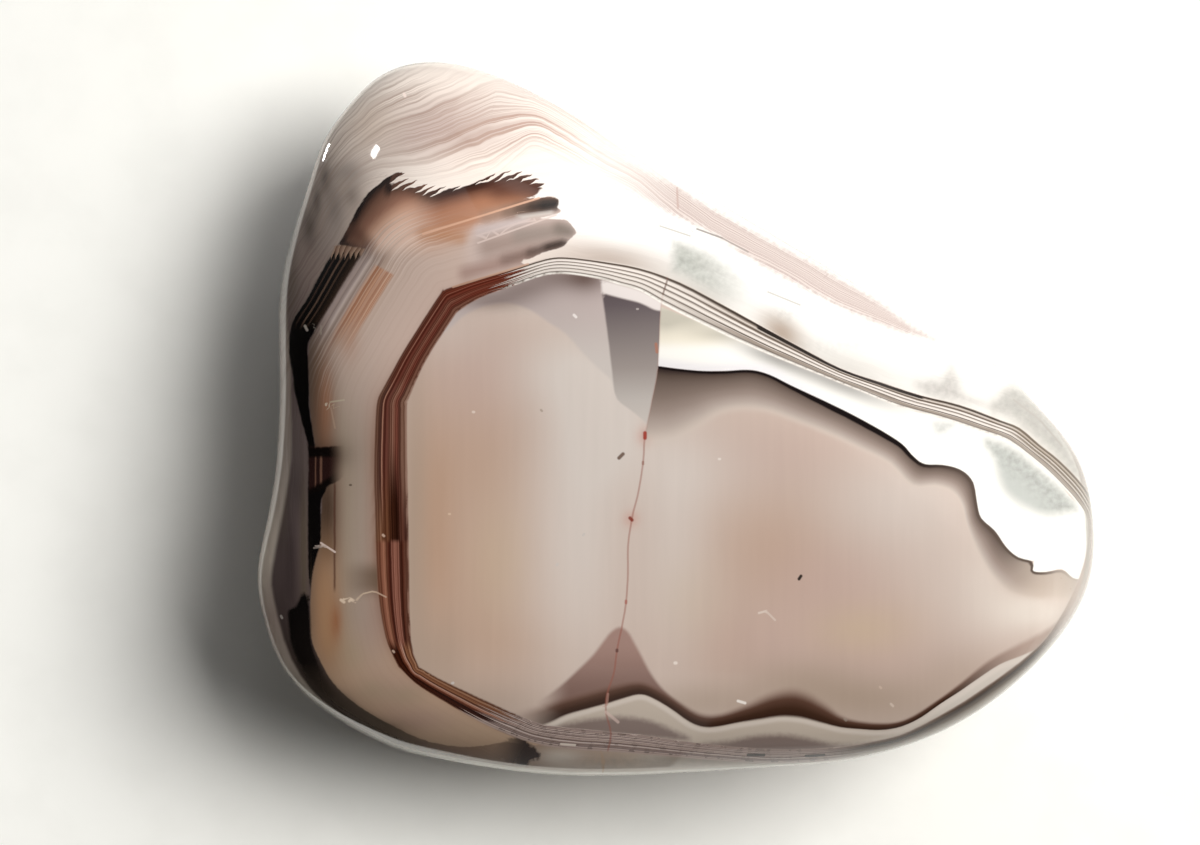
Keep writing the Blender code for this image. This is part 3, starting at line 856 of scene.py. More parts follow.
# The small marks, one of them a painted glint on the lobe: from, to, width in pixels, colour and strength.
MARKS = (
    ((423, 234), (539, 198), 1.5, (222, 176, 150), 0.85),
    ((478, 243), (556, 215), 1.3, (222, 202, 194), 0.7),
    ((476, 236), (530, 219), 1.2, (214, 196, 190), 0.6),
    ((453, 287), (528, 264), 1.5, (200, 160, 136), 0.7),
    # A painted glint on the lobe.
    ((404, 94), (405, 96), 2.2, (255, 236, 228), 0.9),
    ((645, 433), (645, 438), 2.8, (160, 50, 36), 0.9),
    ((630, 518), (632, 520), 2.5, (132, 52, 40), 0.9),
    ((626, 601), (626, 603), 2.0, (168, 96, 84), 0.7),
    ((617, 650), (617, 651), 2.2, (96, 66, 62), 0.8),
    ((643, 462), (643, 464), 1.8, (150, 110, 96), 0.7),
    ((619, 458), (623, 454), 2.6, (92, 62, 46), 0.85),
    ((799, 579), (801, 576), 2.2, (30, 26, 24), 0.95),
    ((314, 548), (321, 547), 1.3, (150, 138, 130), 0.6),
    ((321, 543), (335, 552), 1.4, (216, 196, 186), 0.85),
    ((341, 600), (344, 602), 2.2, (212, 190, 168), 0.9),
    ((350, 599), (352, 600), 2.4, (216, 194, 172), 0.9),
    ((357, 600), (362, 594), 1.4, (190, 168, 148), 0.7),
    ((362, 594), (374, 591), 1.1, (196, 174, 152), 0.8),
    ((374, 591), (386, 597), 1.1, (196, 168, 146), 0.7),
    ((759, 613), (766, 611), 1.6, (226, 212, 200), 0.7),
    ((766, 611), (775, 620), 1.5, (222, 206, 194), 0.6),
    ((738, 701), (745, 703), 2.0, (246, 238, 230), 0.9),
    ((675, 663), (676, 663), 2.4, (240, 228, 218), 0.8),
    ((719, 459), (720, 459), 1.8, (236, 226, 218), 0.7),
    ((473, 412), (474, 412), 1.8, (232, 216, 204), 0.7),
    ((574, 315), (576, 317), 2.0, (244, 236, 232), 0.8),
    ((305, 326), (307, 330), 1.9, (200, 190, 180), 0.8),
    ((321, 326), (321, 334), 1.3, (176, 164, 152), 0.6),
    ((281, 616), (282, 618), 1.7, (190, 182, 176), 0.8),
    ((326, 404), (326, 405), 1.6, (214, 200, 180), 0.8),
    ((331, 408), (335, 428), 1.2, (176, 150, 130), 0.6),
    ((449, 514), (450, 514), 1.6, (222, 196, 170), 0.6),
    ((393, 651), (394, 652), 1.6, (220, 190, 170), 0.6),
    ((383, 535), (384, 536), 1.8, (214, 184, 164), 0.7),
    ((350, 485), (351, 485), 1.5, (80, 66, 56), 0.8),
    ((541, 410), (542, 411), 1.6, (150, 136, 120), 0.6),
    ((824, 278), (828, 274), 1.2, (196, 176, 170), 0.7),
    ((880, 687), (881, 688), 1.8, (214, 190, 172), 0.5),
    ((891, 704), (893, 706), 1.8, (222, 204, 190), 0.6),
    ((845, 719), (846, 720), 2.2, (160, 146, 134), 0.6),
    ((608, 694), (607, 704), 1.7, (176, 132, 118), 0.6),
    ((606, 712), (618, 722), 2.2, (216, 190, 180), 0.6),
    ((561, 744), (575, 745), 1.5, (228, 214, 202), 0.9),
    ((748, 755), (764, 755), 2.0, (22, 18, 18), 0.9),
    ((806, 756), (824, 755), 1.9, (30, 24, 22), 0.9),
    ((667, 281), (663, 294), 1.4, (92, 72, 62), 0.6),
    ((697, 229), (722, 238), 1.3, (128, 118, 112), 0.8),
    ((722, 238), (748, 252), 1.2, (150, 140, 134), 0.7),
    ((660, 226), (690, 236), 1.2, (180, 172, 164), 0.7),
    ((677, 188), (678, 208), 1.6, (190, 160, 150), 0.7),
    ((768, 292), (800, 305), 1.3, (176, 168, 160), 0.6),
    ((1014, 400), (1040, 420), 1.6, (178, 172, 164), 0.7),
    ((1040, 420), (1062, 446), 1.5, (170, 164, 156), 0.7),
    ((1026, 402), (1052, 424), 1.4, (186, 180, 172), 0.6),
    ((330, 402), (344, 400), 1.2, (196, 184, 160), 0.6),
    ((656, 344), (657, 352), 2.2, (176, 116, 92), 0.7),
    ((637, 309), (638, 309), 1.4, (200, 190, 186), 0.6),
)


def polygon_sign(curve):
    """For each skin point, whether its place in the picture is inside the closed curve."""
    inside = np.zeros(len(PLAN), dtype=bool)
    x, y = PLAN[:, 0], PLAN[:, 1]
    for (ax, ay), (bx, by) in zip(curve[:-1], curve[1:]):
        if ay != by:
            spans = (ay > y) != (by > y)
            inside ^= spans & (x < (bx - ax) * (y - ay) / (by - ay) + ax)
    return inside


def nearest(curve):
    """Distance in pixels from each skin point to the curve and which side it is on."""
    x, y = PLAN[:, 0].copy(), PLAN[:, 1].copy()
    best = np.full(len(PLAN), np.inf, dtype=np.float32)
    side = np.zeros(len(PLAN), dtype=np.float32)
    for start, end in zip(curve[:-1].astype(np.float32), curve[1:].astype(np.float32)):
        run_x, run_y = end - start
        length = np.float32(math.hypot(run_x, run_y))
        if length < SHORTEST_RUN:
            continue
        off_x, off_y = x - start[0], y - start[1]
        share = np.clip((off_x * run_x + off_y * run_y) / length ** 2, 0.0, 1.0)
        gap = (off_x - share * run_x) ** 2 + (off_y - share * run_y) ** 2
        closer = gap < best
        best[closer] = gap[closer]
        side[closer] = np.sign(run_x * off_y[closer] - run_y * off_x[closer])
    return np.sqrt(best), side


def beyond(line, towards):
    """Pixels past an open line, positive on the side where the given place lies."""
    curve = bent(line, CURVE_STEPS)
    distance, side = nearest(curve)
    steps = curve - np.array(towards)
    at = int(np.argmin((steps ** 2).sum(axis=1)[:-1]))
    run = curve[at + 1] - curve[at]
    mark = np.sign(run[0] * (towards[1] - curve[at][1]) - run[1] * (towards[0] - curve[at][0]))
    return distance * side * mark


def within(shape):
    """Pixels inside a closed shape, negative outside it."""
    curve = bent(shape, CURVE_STEPS, closed=True)
    distance, _ = nearest(curve)
    return np.where(polygon_sign(curve), distance, -distance)


def across(near, far):
    """0 on the near line and 1 on the far one, carried on past both."""
    width = near - far
    return near / np.where(np.abs(width) < 1.0, 1.0, width)


def blooms(spots):
    """Soft overlapping patches, each with its place, its two half-widths in pixels and its strength."""
    total = np.zeros(len(PLAN))
    for x, y, wide, high, strength in spots:
        total += strength * np.exp(-(((PLAN[:, 0] - x) / wide) ** 2 + ((PLAN[:, 1] - y) / high) ** 2))
    return np.clip(total, 0.0, 1.0)


def rising(values, low, high):
    """0 below low, 1 above high and a smooth step between."""
    share = np.clip((values - low) / (high - low), 0.0, 1.0)
    return share * share * (3.0 - 2.0 * share)


def pigment(name):
    """A named colour as the shaders take it."""
    return shade(*PIGMENTS[name])


def fading(name):
    """0 where a named fade starts in the picture and 1 where it ends."""
    axis, start, end = FADES[name]
    return rising(PLAN[:, "xy".index(axis)], start, end)


def onset(name, values):
    """0 where a named level starts along some values and 1 where it ends."""
    return rising(values, *LEVELS[name])


def lay(under, share, colour):
    """A soft layer of one colour over the colours under it."""
    return under + np.clip(share, 0.0, 1.0)[:, None] * (np.array(shade(*colour)[:3]) - under)


def laid(under, name, share):
    """A named pigment over the colours under it, as strong as its name says."""
    return lay(under, STRENGTHS.get(name, 1.0) * share, PIGMENTS[name])


def tinted(under, tints, share=1.0):
    """Soft blooms of several colours, one after another."""
    for colour, spots in tints:
        under = lay(under, blooms(spots) * share, colour)
    return under


def graded(values, stops):
    """Colours along a value, given as pairs of place and colour."""
    places = [place for place, _ in stops]
    channels = np.array([shade(*colour)[:3] for _, colour in stops]).T
    return np.stack([np.interp(values, places, channel) for channel in channels], axis=1)


def stroke_places(start, end):
    """How far along and aside of a short stroke each skin point is, its distance, and the stroke's length."""
    run = np.array(end, dtype=float) - np.array(start, dtype=float)
    length = math.hypot(*run)
    turn = run / length if length else np.array((1.0, 0.0))
    off = PLAN - np.array(start)
    along = off @ turn
    aside = off[:, 0] * turn[1] - off[:, 1] * turn[0]
    return along, aside, np.hypot(along - np.clip(along, 0.0, length), aside), length


def bearing_of_plan():
    """Compass bearing of each skin point from the middle of the pattern, in degrees."""
    return np.degrees(np.arctan2(MIDDLE[1] - PLAN[:, 1], PLAN[:, 0] - MIDDLE[0]))


def patch_share(looks, name):
    """How strongly frost or mist shows in one clear patch."""
    strength, low, high = looks[name]
    return strength * rising(within(CLEAR_PATCHES[name]), low, high)


def paint_room_softly():
    """The soft clouds of colour inside the two rooms."""
    return tinted(np.tile(shade(*ROOM_BASE)[:3], (len(PLAN), 1)), ROOM_TINTS)


def paint_outer_softly(rim, depth, outside):
    """The outside of the arch: its ring of colours, soft tints, clear patches and the rim's painted sheen."""
    bearing = bearing_of_plan()
    colour = tinted(graded(bearing, OUTER_RING), OUTER_TINTS)
    colour = tinted(colour, OVER_ARCH, onset("wash over arch", outside))
    for name in ("bump", "edge"):
        colour = lay(colour, patch_share(FROST, name), CLEAR_TINTS[name])
    behind = patch_share(FROST, "behind arch") * fading("frost behind arch")
    colour = lay(colour, behind, CLEAR_TINTS["behind arch"])
    # Painted sheen along the stone's edge: light and reflection that the polished rim catches.
    width = np.interp(bearing, [place for place, _, _ in RIM_SHEEN], [wide for _, wide, _ in RIM_SHEEN])
    rim_sheen_colour = graded(bearing, [(place, colour) for place, _, colour in RIM_SHEEN])
    share = onset("rim", -rim / width) * onset("rim ends below", -depth)
    return colour + STRENGTHS["rim"] * share[:, None] * (rim_sheen_colour - colour)


def paint_band_softly(gap, outside, band_across):
    """The pale band left of the arch and the brown head and fingers it ends in."""
    x, y = PLAN[:, 0], PLAN[:, 1]
    colour = graded(band_across, BAND_ACROSS)
    colour = laid(colour, "pale head of band", fading("band paler upwards") * onset("pale head", gap))
    colour = laid(colour, "tan foot of band", fading("band tan downwards"))
    colour = laid(colour, "trapezoid", onset("trapezoid", within(TRAPEZOID)) * fading("trapezoid"))
    colour = tinted(colour, BAND_TINTS)
    right = fading("right part of head")[:, None]
    top_edge = np.interp(gap, *zip(*HEAD_TOP))
    side_edge = np.interp(gap, *zip(*HEAD_EDGE))
    line = np.where(x > HEAD_PEAK, top_edge, side_edge)
    left_head = lay(graded(outside, HEAD_LEFT), line, PIGMENTS["line round head"])
    head = left_head * (1.0 - right) + graded(gap, HEAD_RIGHT) * right
    over_foot = HEAD_FOOT[1] - HEAD_SLOPE * (x - HEAD_FOOT[0]) - y
    head_end = onset("foot of head", over_foot) * fading("tip of head")
    share = np.maximum(head_end, fading("head over band") * fading("head before fingers"))
    colour = colour + share[:, None] * (head - colour)
    top = fading("finger ground upwards") * fading("finger ground") * (1.0 - head_end)
    colour = lay(colour, top, PIGMENTS["finger ground"])
    for tint, start, end, wide, strength in FINGERS:
        _, _, distance, _ = stroke_places(start, end)
        colour = lay(colour, strength * rising(-distance, -FINGER_SOFTNESS * wide, 0.0), tint)
    return colour


def paint_cream_softly(line, chamber):
    """The bleached white layer against the arch, greyer at its head and over the dark line."""
    colour = np.tile(pigment("cream")[:3], (len(PLAN), 1))
    colour = lay(colour, fading("warm cream upwards") * fading("warm cream"), PIGMENTS["warm cream"])
    colour = tinted(colour, CREAM_TINTS)
    colour = tinted(colour, UNDER_ARCH, onset("wash under arch", chamber))
    colour = laid(colour, "bluish cream", onset("over dark line", line) * fading("bluish cream"))
    for name in ("tip", "notch"):
        colour = lay(colour, patch_share(FROST, name), CLEAR_TINTS[name])
    return colour


def mist_softly(chamber):
    """How strongly grey mottling shows in each patch of clear quartz."""
    share = patch_share(MIST, "behind arch") * fading("mist behind arch")
    share = np.maximum(share, patch_share(MIST, "tip") * rising(-chamber, *TIP_MIST))
    for name in ("notch", "bump", "edge"):
        share = np.maximum(share, patch_share(MIST, name))
    return np.maximum(share, blooms(MOTTLED))


def place_marks(depth):
    """For each skin point its place on the nearest small mark, and the mark's width, colour and strength."""
    best = np.full(len(PLAN), np.inf)
    run = np.zeros((len(PLAN), 3))
    look = np.zeros((len(PLAN), 4))
    width = np.ones(len(PLAN))
    for start, end, wide, colour, strength in MARKS:
        along, aside, distance, length = stroke_places(start, end)
        closer = distance - wide < best
        best[closer] = (distance - wide)[closer]
        run[closer] = np.stack([along, aside, np.full(len(PLAN), length)], axis=1)[closer]
        look[closer] = (*shade(*colour)[:3], strength)
        width[closer] = wide
    look[:, 3] *= (depth < MARK_DEPTH) & (best < MARK_REACH)
    return run, look, width


def trace_pattern(depth):
    """Every number that the material reads at each skin point, and every soft colour."""
    outside = -within(ARCH_OUTER)
    chamber = within(ARCH_INNER)
    wall_gap, _ = nearest(bent(WALL, CURVE_STEPS))
    wave_low = beyond(WAVE_LOW, ROOM_FLOOR)
    dark_line = beyond(DARK_LINE, ROOM_HEART)
    lobe_low = beyond(LOBE_LOW, LOBE_TOP)
    rim = within(SILHOUETTE)
    upper = onset("upper side", -depth)
    marks = {"outside": outside, "chamber": chamber, "rim": rim, "dark_line": dark_line, "wave": wave_low}
    marks.update((name, within(shape)) for name, shape in CLOSED_SHAPES.items())
    marks.update((name, blooms(spots) * upper) for name, spots in UPPER_SHARES.items())
    marks["arch_across"] = -outside / np.maximum(np.abs(outside) + np.abs(chamber), 1.0)
    marks["wave_across"] = across(wave_low, beyond(WAVE_HIGH, ROOM_FLOOR))
    marks["dark_across"] = across(dark_line, beyond(DARK_FADE, ROOM_HEART))
    marks["lobe_across"] = across(lobe_low, beyond(LOBE_HIGH, PAST_LOBE))
    marks["black_across"] = across(beyond(BLACK_LEFT, ARCH_FOOT), beyond(BLACK_RIGHT, ARCH_FOOT))
    marks["lilac"] = beyond(LILAC_EDGE, LILAC_CORNER)
    marks["crack"] = beyond(CRACK, TIP_ROOM)
    marks["lens"] = np.maximum(within(LENS_LEFT), within(LENS_RIGHT))
    marks["arch_shadow"] = blooms(ARCH_SHADOW)
    marks["misted"] = mist_softly(chamber) * upper
    marks["lined_share"] = blooms(LINED) * onset("lined side", -depth)
    marks["upper_share"] = upper
    top, walls, left_wall = RING_STRENGTHS
    marks["wall_share"] = top + walls * onset("wall", depth) + left_wall * blooms(LEFT_WALL)
    run, look, width = place_marks(depth)
    marks["mark_width"] = width
    band_across = wall_gap / np.maximum(wall_gap + np.abs(outside), 1.0)
    colours = {
        "room_colour": paint_room_softly(),
        "outer_colour": paint_outer_softly(rim, depth, outside),
        "band_colour": paint_band_softly(wall_gap, outside, band_across),
        "cream_colour": paint_cream_softly(dark_line, chamber),
        "mark_look": look,
    }
    return marks, colours, run


class Bench:
    """Sets shader nodes out in one tree and joins them up."""

    def __init__(self, tree):
        self.tree = tree

    def add(self, kind, **settings):
        """A new shader node with its settings."""
        node = self.tree.nodes.new("ShaderNode" + kind)
        for name, value in settings.items():
            setattr(node, name, value)
        return node

    def feed(self, socket, value):
        """Joins a value to a socket, or sets it there directly."""
        if isinstance(value, bpy.types.NodeSocket):
            self.tree.links.new(value, socket)
        else:
            socket.default_value = value

    def calc(self, operation, *values, clamp=False):
        """One step of arithmetic."""
        node = self.add("Math", operation=operation, use_clamp=clamp)
        for socket, value in zip(node.inputs, values):
            self.feed(socket, value)
        return node.outputs[0]

    def both(self, *masks):
        """Masks multiplied together."""
        share = masks[0]
        for mask in masks[1:]:
            share = self.calc("MULTIPLY", share, mask)
        return share

    def other(self, mask):
        """The part a mask leaves out."""
        return self.calc("SUBTRACT", 1.0, mask)

    def step(self, value, low, high):
        """0 at low, 1 at high and a smooth step between."""
        node = self.add("MapRange", interpolation_type="SMOOTHSTEP")
        for socket, number in zip(node.inputs, (value, low, high, 0.0, 1.0)):
            self.feed(socket, number)
        return node.outputs[0]

    def band(self, value, low, high, soft):
        """1 between low and high, fading over the soft width at both ends."""
        return self.both(self.step(value, low - soft, low + soft), self.step(value, high + soft, high - soft))

    def between(self, share, low, high):
        """A number part of the way from low to high."""
        return self.calc("MULTIPLY_ADD", share, high - low, low)

    def mix(self, share, under, over, how="MIX"):
        """One colour over another."""
        node = self.add("Mix", data_type="RGBA", blend_type=how)
        self.feed(node.inputs[0], share)
        self.feed(node.inputs[6], under)
        self.feed(node.inputs[7], over)
        return node.outputs[2]

    def tint(self, share, under, name, how="MIX"):
        """A pigment over a colour, as strong as its name says."""
        share = self.both(share, STRENGTHS[name]) if name in STRENGTHS else share
        return self.mix(share, under, pigment(name), how)

    def ramp(self, value, stops):
        """Colours along a value, given as pairs of place and colour."""
        node = self.add("ValToRGB")
        elements = node.color_ramp.elements
        while len(elements) < len(stops):
            elements.new(1.0)
        for element, (place, colour) in zip(elements, stops):
            element.position = place
        for element, (place, colour) in zip(elements, stops):
            element.color = colour
        self.feed(node.inputs[0], value)
        return node.outputs[0]

    def use(self, group, **values):
        """What a node group gives for these values."""
        node = self.add("Group", node_tree=group)
        for name, value in values.items():
            self.feed(node.inputs[name.replace("_", " ").capitalize()], value)
        return node.outputs[0]


def new_group(name, values, result):
    """An empty node group, its bench, and its inputs by name."""
    tree = bpy.data.node_groups.new(name, "ShaderNodeTree")
    for value in values:
        kind = "NodeSocketVector" if value == "Plan" else "NodeSocketFloat"
        tree.interface.new_socket(value, in_out="INPUT", socket_type=kind)
    tree.interface.new_socket(result, in_out="OUTPUT", socket_type="NodeSocketFloat")
    return Bench(tree), tree.nodes.new("NodeGroupInput").outputs


def give(bench, value):
    """Joins a value to the group's one output."""
    bench.tree.links.new(value, bench.tree.nodes.new("NodeGroupOutput").inputs[0])
    return bench.tree


def noise(bench, where, scale, detail, roughness=0.5):
    """Even noise of a given scale."""
    node = bench.add("TexNoise")
    bench.feed(node.inputs["Vector"], where)
    for name, value in (("Scale", scale), ("Detail", detail), ("Roughness", roughness)):
        bench.feed(node.inputs[name], value)
    return node.outputs[0]


def edge_group():
    """A mask with a soft, ragged edge where a distance passes zero."""
    bench, given = new_group("agate_edge", ("Distance", "Softness", "Ragged", "Grain"), "Mask")
    moved = bench.calc("MULTIPLY_ADD", given["Grain"], given["Ragged"], given["Distance"])
    return give(bench, bench.step(bench.calc("DIVIDE", moved, given["Softness"]), -0.5, 0.5))


def growth_group():
    """Fine bands of growth laid down one after another, as an uneven row of light and dark."""
    bench, given = new_group("agate_growth", ("Across", "Fineness", "Drift", "Waver", "Contrast"), "Lines")
    even = bench.calc("MULTIPLY", given["Across"], given["Fineness"])
    place = bench.calc("MULTIPLY_ADD", given["Drift"], given["Waver"], even)
    rows = bench.add("TexNoise", noise_dimensions="1D")
    for name, value in (("W", place), ("Scale", 1.0), ("Detail", 2.0), ("Roughness", 0.65)):
        bench.feed(rows.inputs[name], value)
    level = bench.calc("MULTIPLY", bench.calc("SUBTRACT", rows.outputs[0], 0.5), given["Contrast"])
    return give(bench, bench.calc("ADD", level, 0.5, clamp=True))


def cloud_group():
    """Slow uneven cloudiness."""
    bench, given = new_group("agate_cloud", ("Plan", "Scale", "Contrast"), "Cloud")
    level = bench.calc("SUBTRACT", noise(bench, given["Plan"], given["Scale"], 3.0), 0.5)
    return give(bench, bench.calc("MULTIPLY_ADD", level, given["Contrast"], 0.5, clamp=True))


def tooth_group():
    """A row of slanting teeth, rising from 0 to 1 along each tooth."""
    bench, given = new_group("agate_teeth", ("X", "Y", "Slant", "Pitch", "Grain"), "Teeth")
    slanted = bench.calc("MULTIPLY_ADD", given["Y"], given["Slant"], given["X"])
    uneven = bench.calc("MULTIPLY_ADD", given["Grain"], 1.2, bench.calc("DIVIDE", slanted, given["Pitch"]))
    return give(bench, bench.calc("FRACT", uneven))


class Painter(Bench):
    """A bench that knows the stone's numbers and the groups that paint with them."""

    def __init__(self, tree):
        super().__init__(tree)
        self.plan = self.read("plan", "Vector")
        parts = self.add("SeparateXYZ")
        self.feed(parts.inputs[0], self.plan)
        self.sway, self.grain, self.drift = (
            self.calc("SUBTRACT", noise(self, self.plan, scale, 2.0), 0.5) for scale in SWAY_GRAIN_DRIFT)
        self.x, self.y, self.depth = (self.calc("ADD", self.sway, part) for part in parts.outputs)
        self.edge = edge_group()
        self.growth = growth_group()
        self.cloud = cloud_group()
        self.tooth = tooth_group()
        self.known = {}

    def read(self, name, kind="Fac"):
        """A value kept in the skin."""
        return self.add("Attribute", attribute_name=name).outputs[kind]

    def field(self, name):
        """A number traced on the skin, swaying a little so that no line is ruled."""
        if name not in self.known:
            share = SWAY_ACROSS if name.endswith("_across") else SWAY_SHARE
            self.known[name] = self.calc("MULTIPLY_ADD", self.sway, share, self.read(name))
        return self.known[name]

    def fade(self, name):
        """0 where a named fade starts in the picture and 1 where it ends."""
        axis, start, end = FADES[name]
        return self.step(getattr(self, axis), start, end)

    def level(self, name, value):
        """0 where a named level starts along a value and 1 where it ends."""
        return self.step(value, *LEVELS[name])

    def stretch(self, name):
        """1 within a named stretch of the picture."""
        axis, low, high, soft = STRETCHES[name]
        return self.band(getattr(self, axis), low, high, soft)

    def share_down(self, span):
        """How far down the picture a place is, from a start and a length in pixels."""
        return self.calc("DIVIDE", self.calc("SUBTRACT", self.y, span[0]), span[1])

    def slant(self, aside, slope, low, high):
        """A smooth step down the picture that another value tilts."""
        return self.step(self.calc("MULTIPLY_ADD", aside, slope, self.y), low, high)

    def within(self, name, distance, softness=None):
        """A mask of the places where a distance is above 0, with the edge of a traced shape."""
        soft, ragged = EDGES.get(name, PLAIN_EDGE)
        soft = soft if softness is None else softness
        return self.use(self.edge, Distance=distance, Softness=soft, Ragged=ragged, Grain=self.grain)

    def inside(self, name, softness=None, shift=0.0):
        """A mask of the places inside a traced shape, moved outwards by some pixels."""
        distance = self.calc("ADD", self.field(name), shift) if shift else self.field(name)
        return self.within(name, distance, softness)

    def lines(self, along, fineness, waver, contrast=3.0):
        """Levels of growth lines along a value."""
        values = {"Across": along, "Fineness": fineness, "Waver": waver, "Contrast": contrast}
        return self.use(self.growth, Drift=self.drift, **values)

    def rows(self, name, along):
        """Where the named growth lines show along a value."""
        fineness, waver, contrast, low, high = GROWTH[name]
        return self.step(self.lines(along, fineness, waver, contrast), low, high)

    def tones(self, value, stops):
        """Shades along a value, given as pairs of place and screen colour."""
        return self.ramp(value, [(place, shade(*colour)) for place, colour in stops])

    def teeth(self, name):
        """A row of slanting teeth."""
        slant, pitch = TEETH[name]
        return self.use(self.tooth, X=self.x, Y=self.y, Slant=slant, Pitch=pitch, Grain=self.sway)

    def mottle(self, name):
        """A named cloudiness."""
        kind, size, contrast = CLOUDS[name]
        return self.use(self.cloud, Plan=self.read(kind, "Vector"), Scale=1.0 / size, Contrast=contrast)


def paint_ground(p):
    """The pale rooms, the outside of the arch with its fine growth lines, and the pink band on the slope."""
    outer = p.read("outer_colour", "Color")
    lobe = p.field("lobe_across")
    broad = p.rows("broad in lobe", lobe)
    fine = p.rows("fine in lobe", lobe)
    rows = p.calc("MULTIPLY_ADD", broad, LOBE_SHARES[0], p.calc("MULTIPLY", fine, LOBE_SHARES[1]))
    strength = p.both(p.read("lined_share"), p.level("lobe starts", lobe), p.level("lobe ends", lobe))
    outer = p.mix(p.both(rows, strength), outer, p.tones(p.calc("DIVIDE", p.x, LOBE_LENGTH), LOBE_ALONG))
    round_stone = p.calc("MULTIPLY_ADD", p.depth, RING_FALL, p.field("outside"))
    rings = p.rows("rings", round_stone)
    threads = p.rows("fine rings", round_stone)
    rings = p.calc("MULTIPLY_ADD", rings, RING_SHARES[0], p.calc("MULTIPLY", threads, RING_SHARES[1]))
    outer = p.tint(p.both(rings, p.read("wall_share")), outer, "growth rings", "MULTIPLY")
    pink = p.tint(p.rows("pink band", lobe), pigment("pink band"), "pink band line")
    pinker = p.between(p.fade("pink band"), *PINK_SHARE)
    outer = p.mix(p.both(p.inside("pink_band"), pinker), outer, pink)
    room = p.mix(p.mottle("room"), p.read("room_colour", "Color"), ROOM_CLOUD, "MULTIPLY")
    return p.mix(p.inside("outside"), room, outer)


def paint_left_zone(p, under):
    """The pale band between the arch and the black stripe, with the flame-edged brown patch at its head."""
    out = p.field("outside")
    rows = p.tones(p.calc("DIVIDE", out, STRIPE_REACH), STRIPE_ROWS)
    colour = p.mix(p.read("striped_share"), p.read("band_colour", "Color"), rows)
    below = p.slant(p.x, *TAN_HEAD)
    tan = p.both(p.band(out, *BANDS["tan stripe"]), below, p.fade("tan stripe"), STRENGTHS["tan stripe"])
    stripe = p.tint(p.rows("tan stripe", out), pigment("tan stripe"), "tan stripe line")
    colour = p.mix(tan, colour, stripe)
    lined = p.both(p.read("line_share"), p.level("lines end in band", out))
    pale = p.rows("pale in band", out)
    colour = p.tint(p.both(pale, lined), colour, "pale line in band")
    dim = p.rows("dim in band", p.calc("ADD", out, OTHER_ROWS))
    colour = p.tint(p.both(dim, p.between(lined, *DIM_SHARE)), colour, "dim line in band")
    rust = p.both(p.stretch("rust thread"), p.stretch("rust thread down"))
    colour = p.tint(rust, colour, "rust thread")
    spikes = p.calc("SUBTRACT", p.teeth("flames"), FLAME_FOOT)
    spikes = p.both(spikes, p.read("toothed_share"))
    zone = p.within("left_zone", p.calc("MULTIPLY_ADD", spikes, FLAME_REACH, p.field("left_zone")))
    return p.mix(p.both(zone, p.inside("outside", shift=1.0)), under, colour)


def paint_black(p, under):
    """The black stripe on the left, the broken box in it, the crescent below, the blob by the arch and a
    painted reflection on the lower rim.
    """
    ink = p.tones(p.field("black_across"), BLACK_ACROSS)
    ink = p.tint(p.fade("stripe turns solid"), ink, "black")
    streaks = p.both(p.rows("black streaks", p.x), p.read("streaked_share"))
    ink = p.tint(streaks, ink, "streak in black")
    teeth = p.teeth("comb")
    comb = p.tint(teeth, pigment("comb"), "tip of comb")
    ink = p.mix(p.slant(teeth, *COMB_FOOT), ink, comb)
    colour = p.mix(p.inside("black_strip"), under, ink)
    threads = p.calc("MAXIMUM", p.stretch("left thread in box"), p.stretch("right thread in box"))
    boxed = p.tint(threads, pigment("fault box"), "thread in box")
    bars = p.calc("MAXIMUM", p.stretch("bar on box"), p.slant(p.x, *BOX_FOOT))
    boxed = p.tint(bars, boxed, "bar on box")
    solid = p.fade("fault box")
    colour = p.mix(p.both(p.inside("fault_box"), solid), colour, boxed)
    dark = p.tones(p.share_down(CRESCENT_SPAN), CRESCENT_DOWN)
    soft = p.between(p.fade("crescent softens"), *CRESCENT_SOFTNESS)
    colour = p.mix(p.both(p.inside("crescent", soft), p.fade("crescent ends")), colour, dark)
    blob = p.both(p.inside("dark_blob", shift=2.0), p.fade("dark blob"))
    colour = p.tint(blob, colour, "dark blob")
    # A thin painted reflection along the lower rim, where the polished edge catches light.
    bright = p.both(p.band(p.field("rim"), *BANDS["painted reflection on lower rim"]), p.fade("painted reflection on lower rim"))
    return p.tint(p.both(bright, p.read("upper_share")), colour, "painted reflection on lower rim")


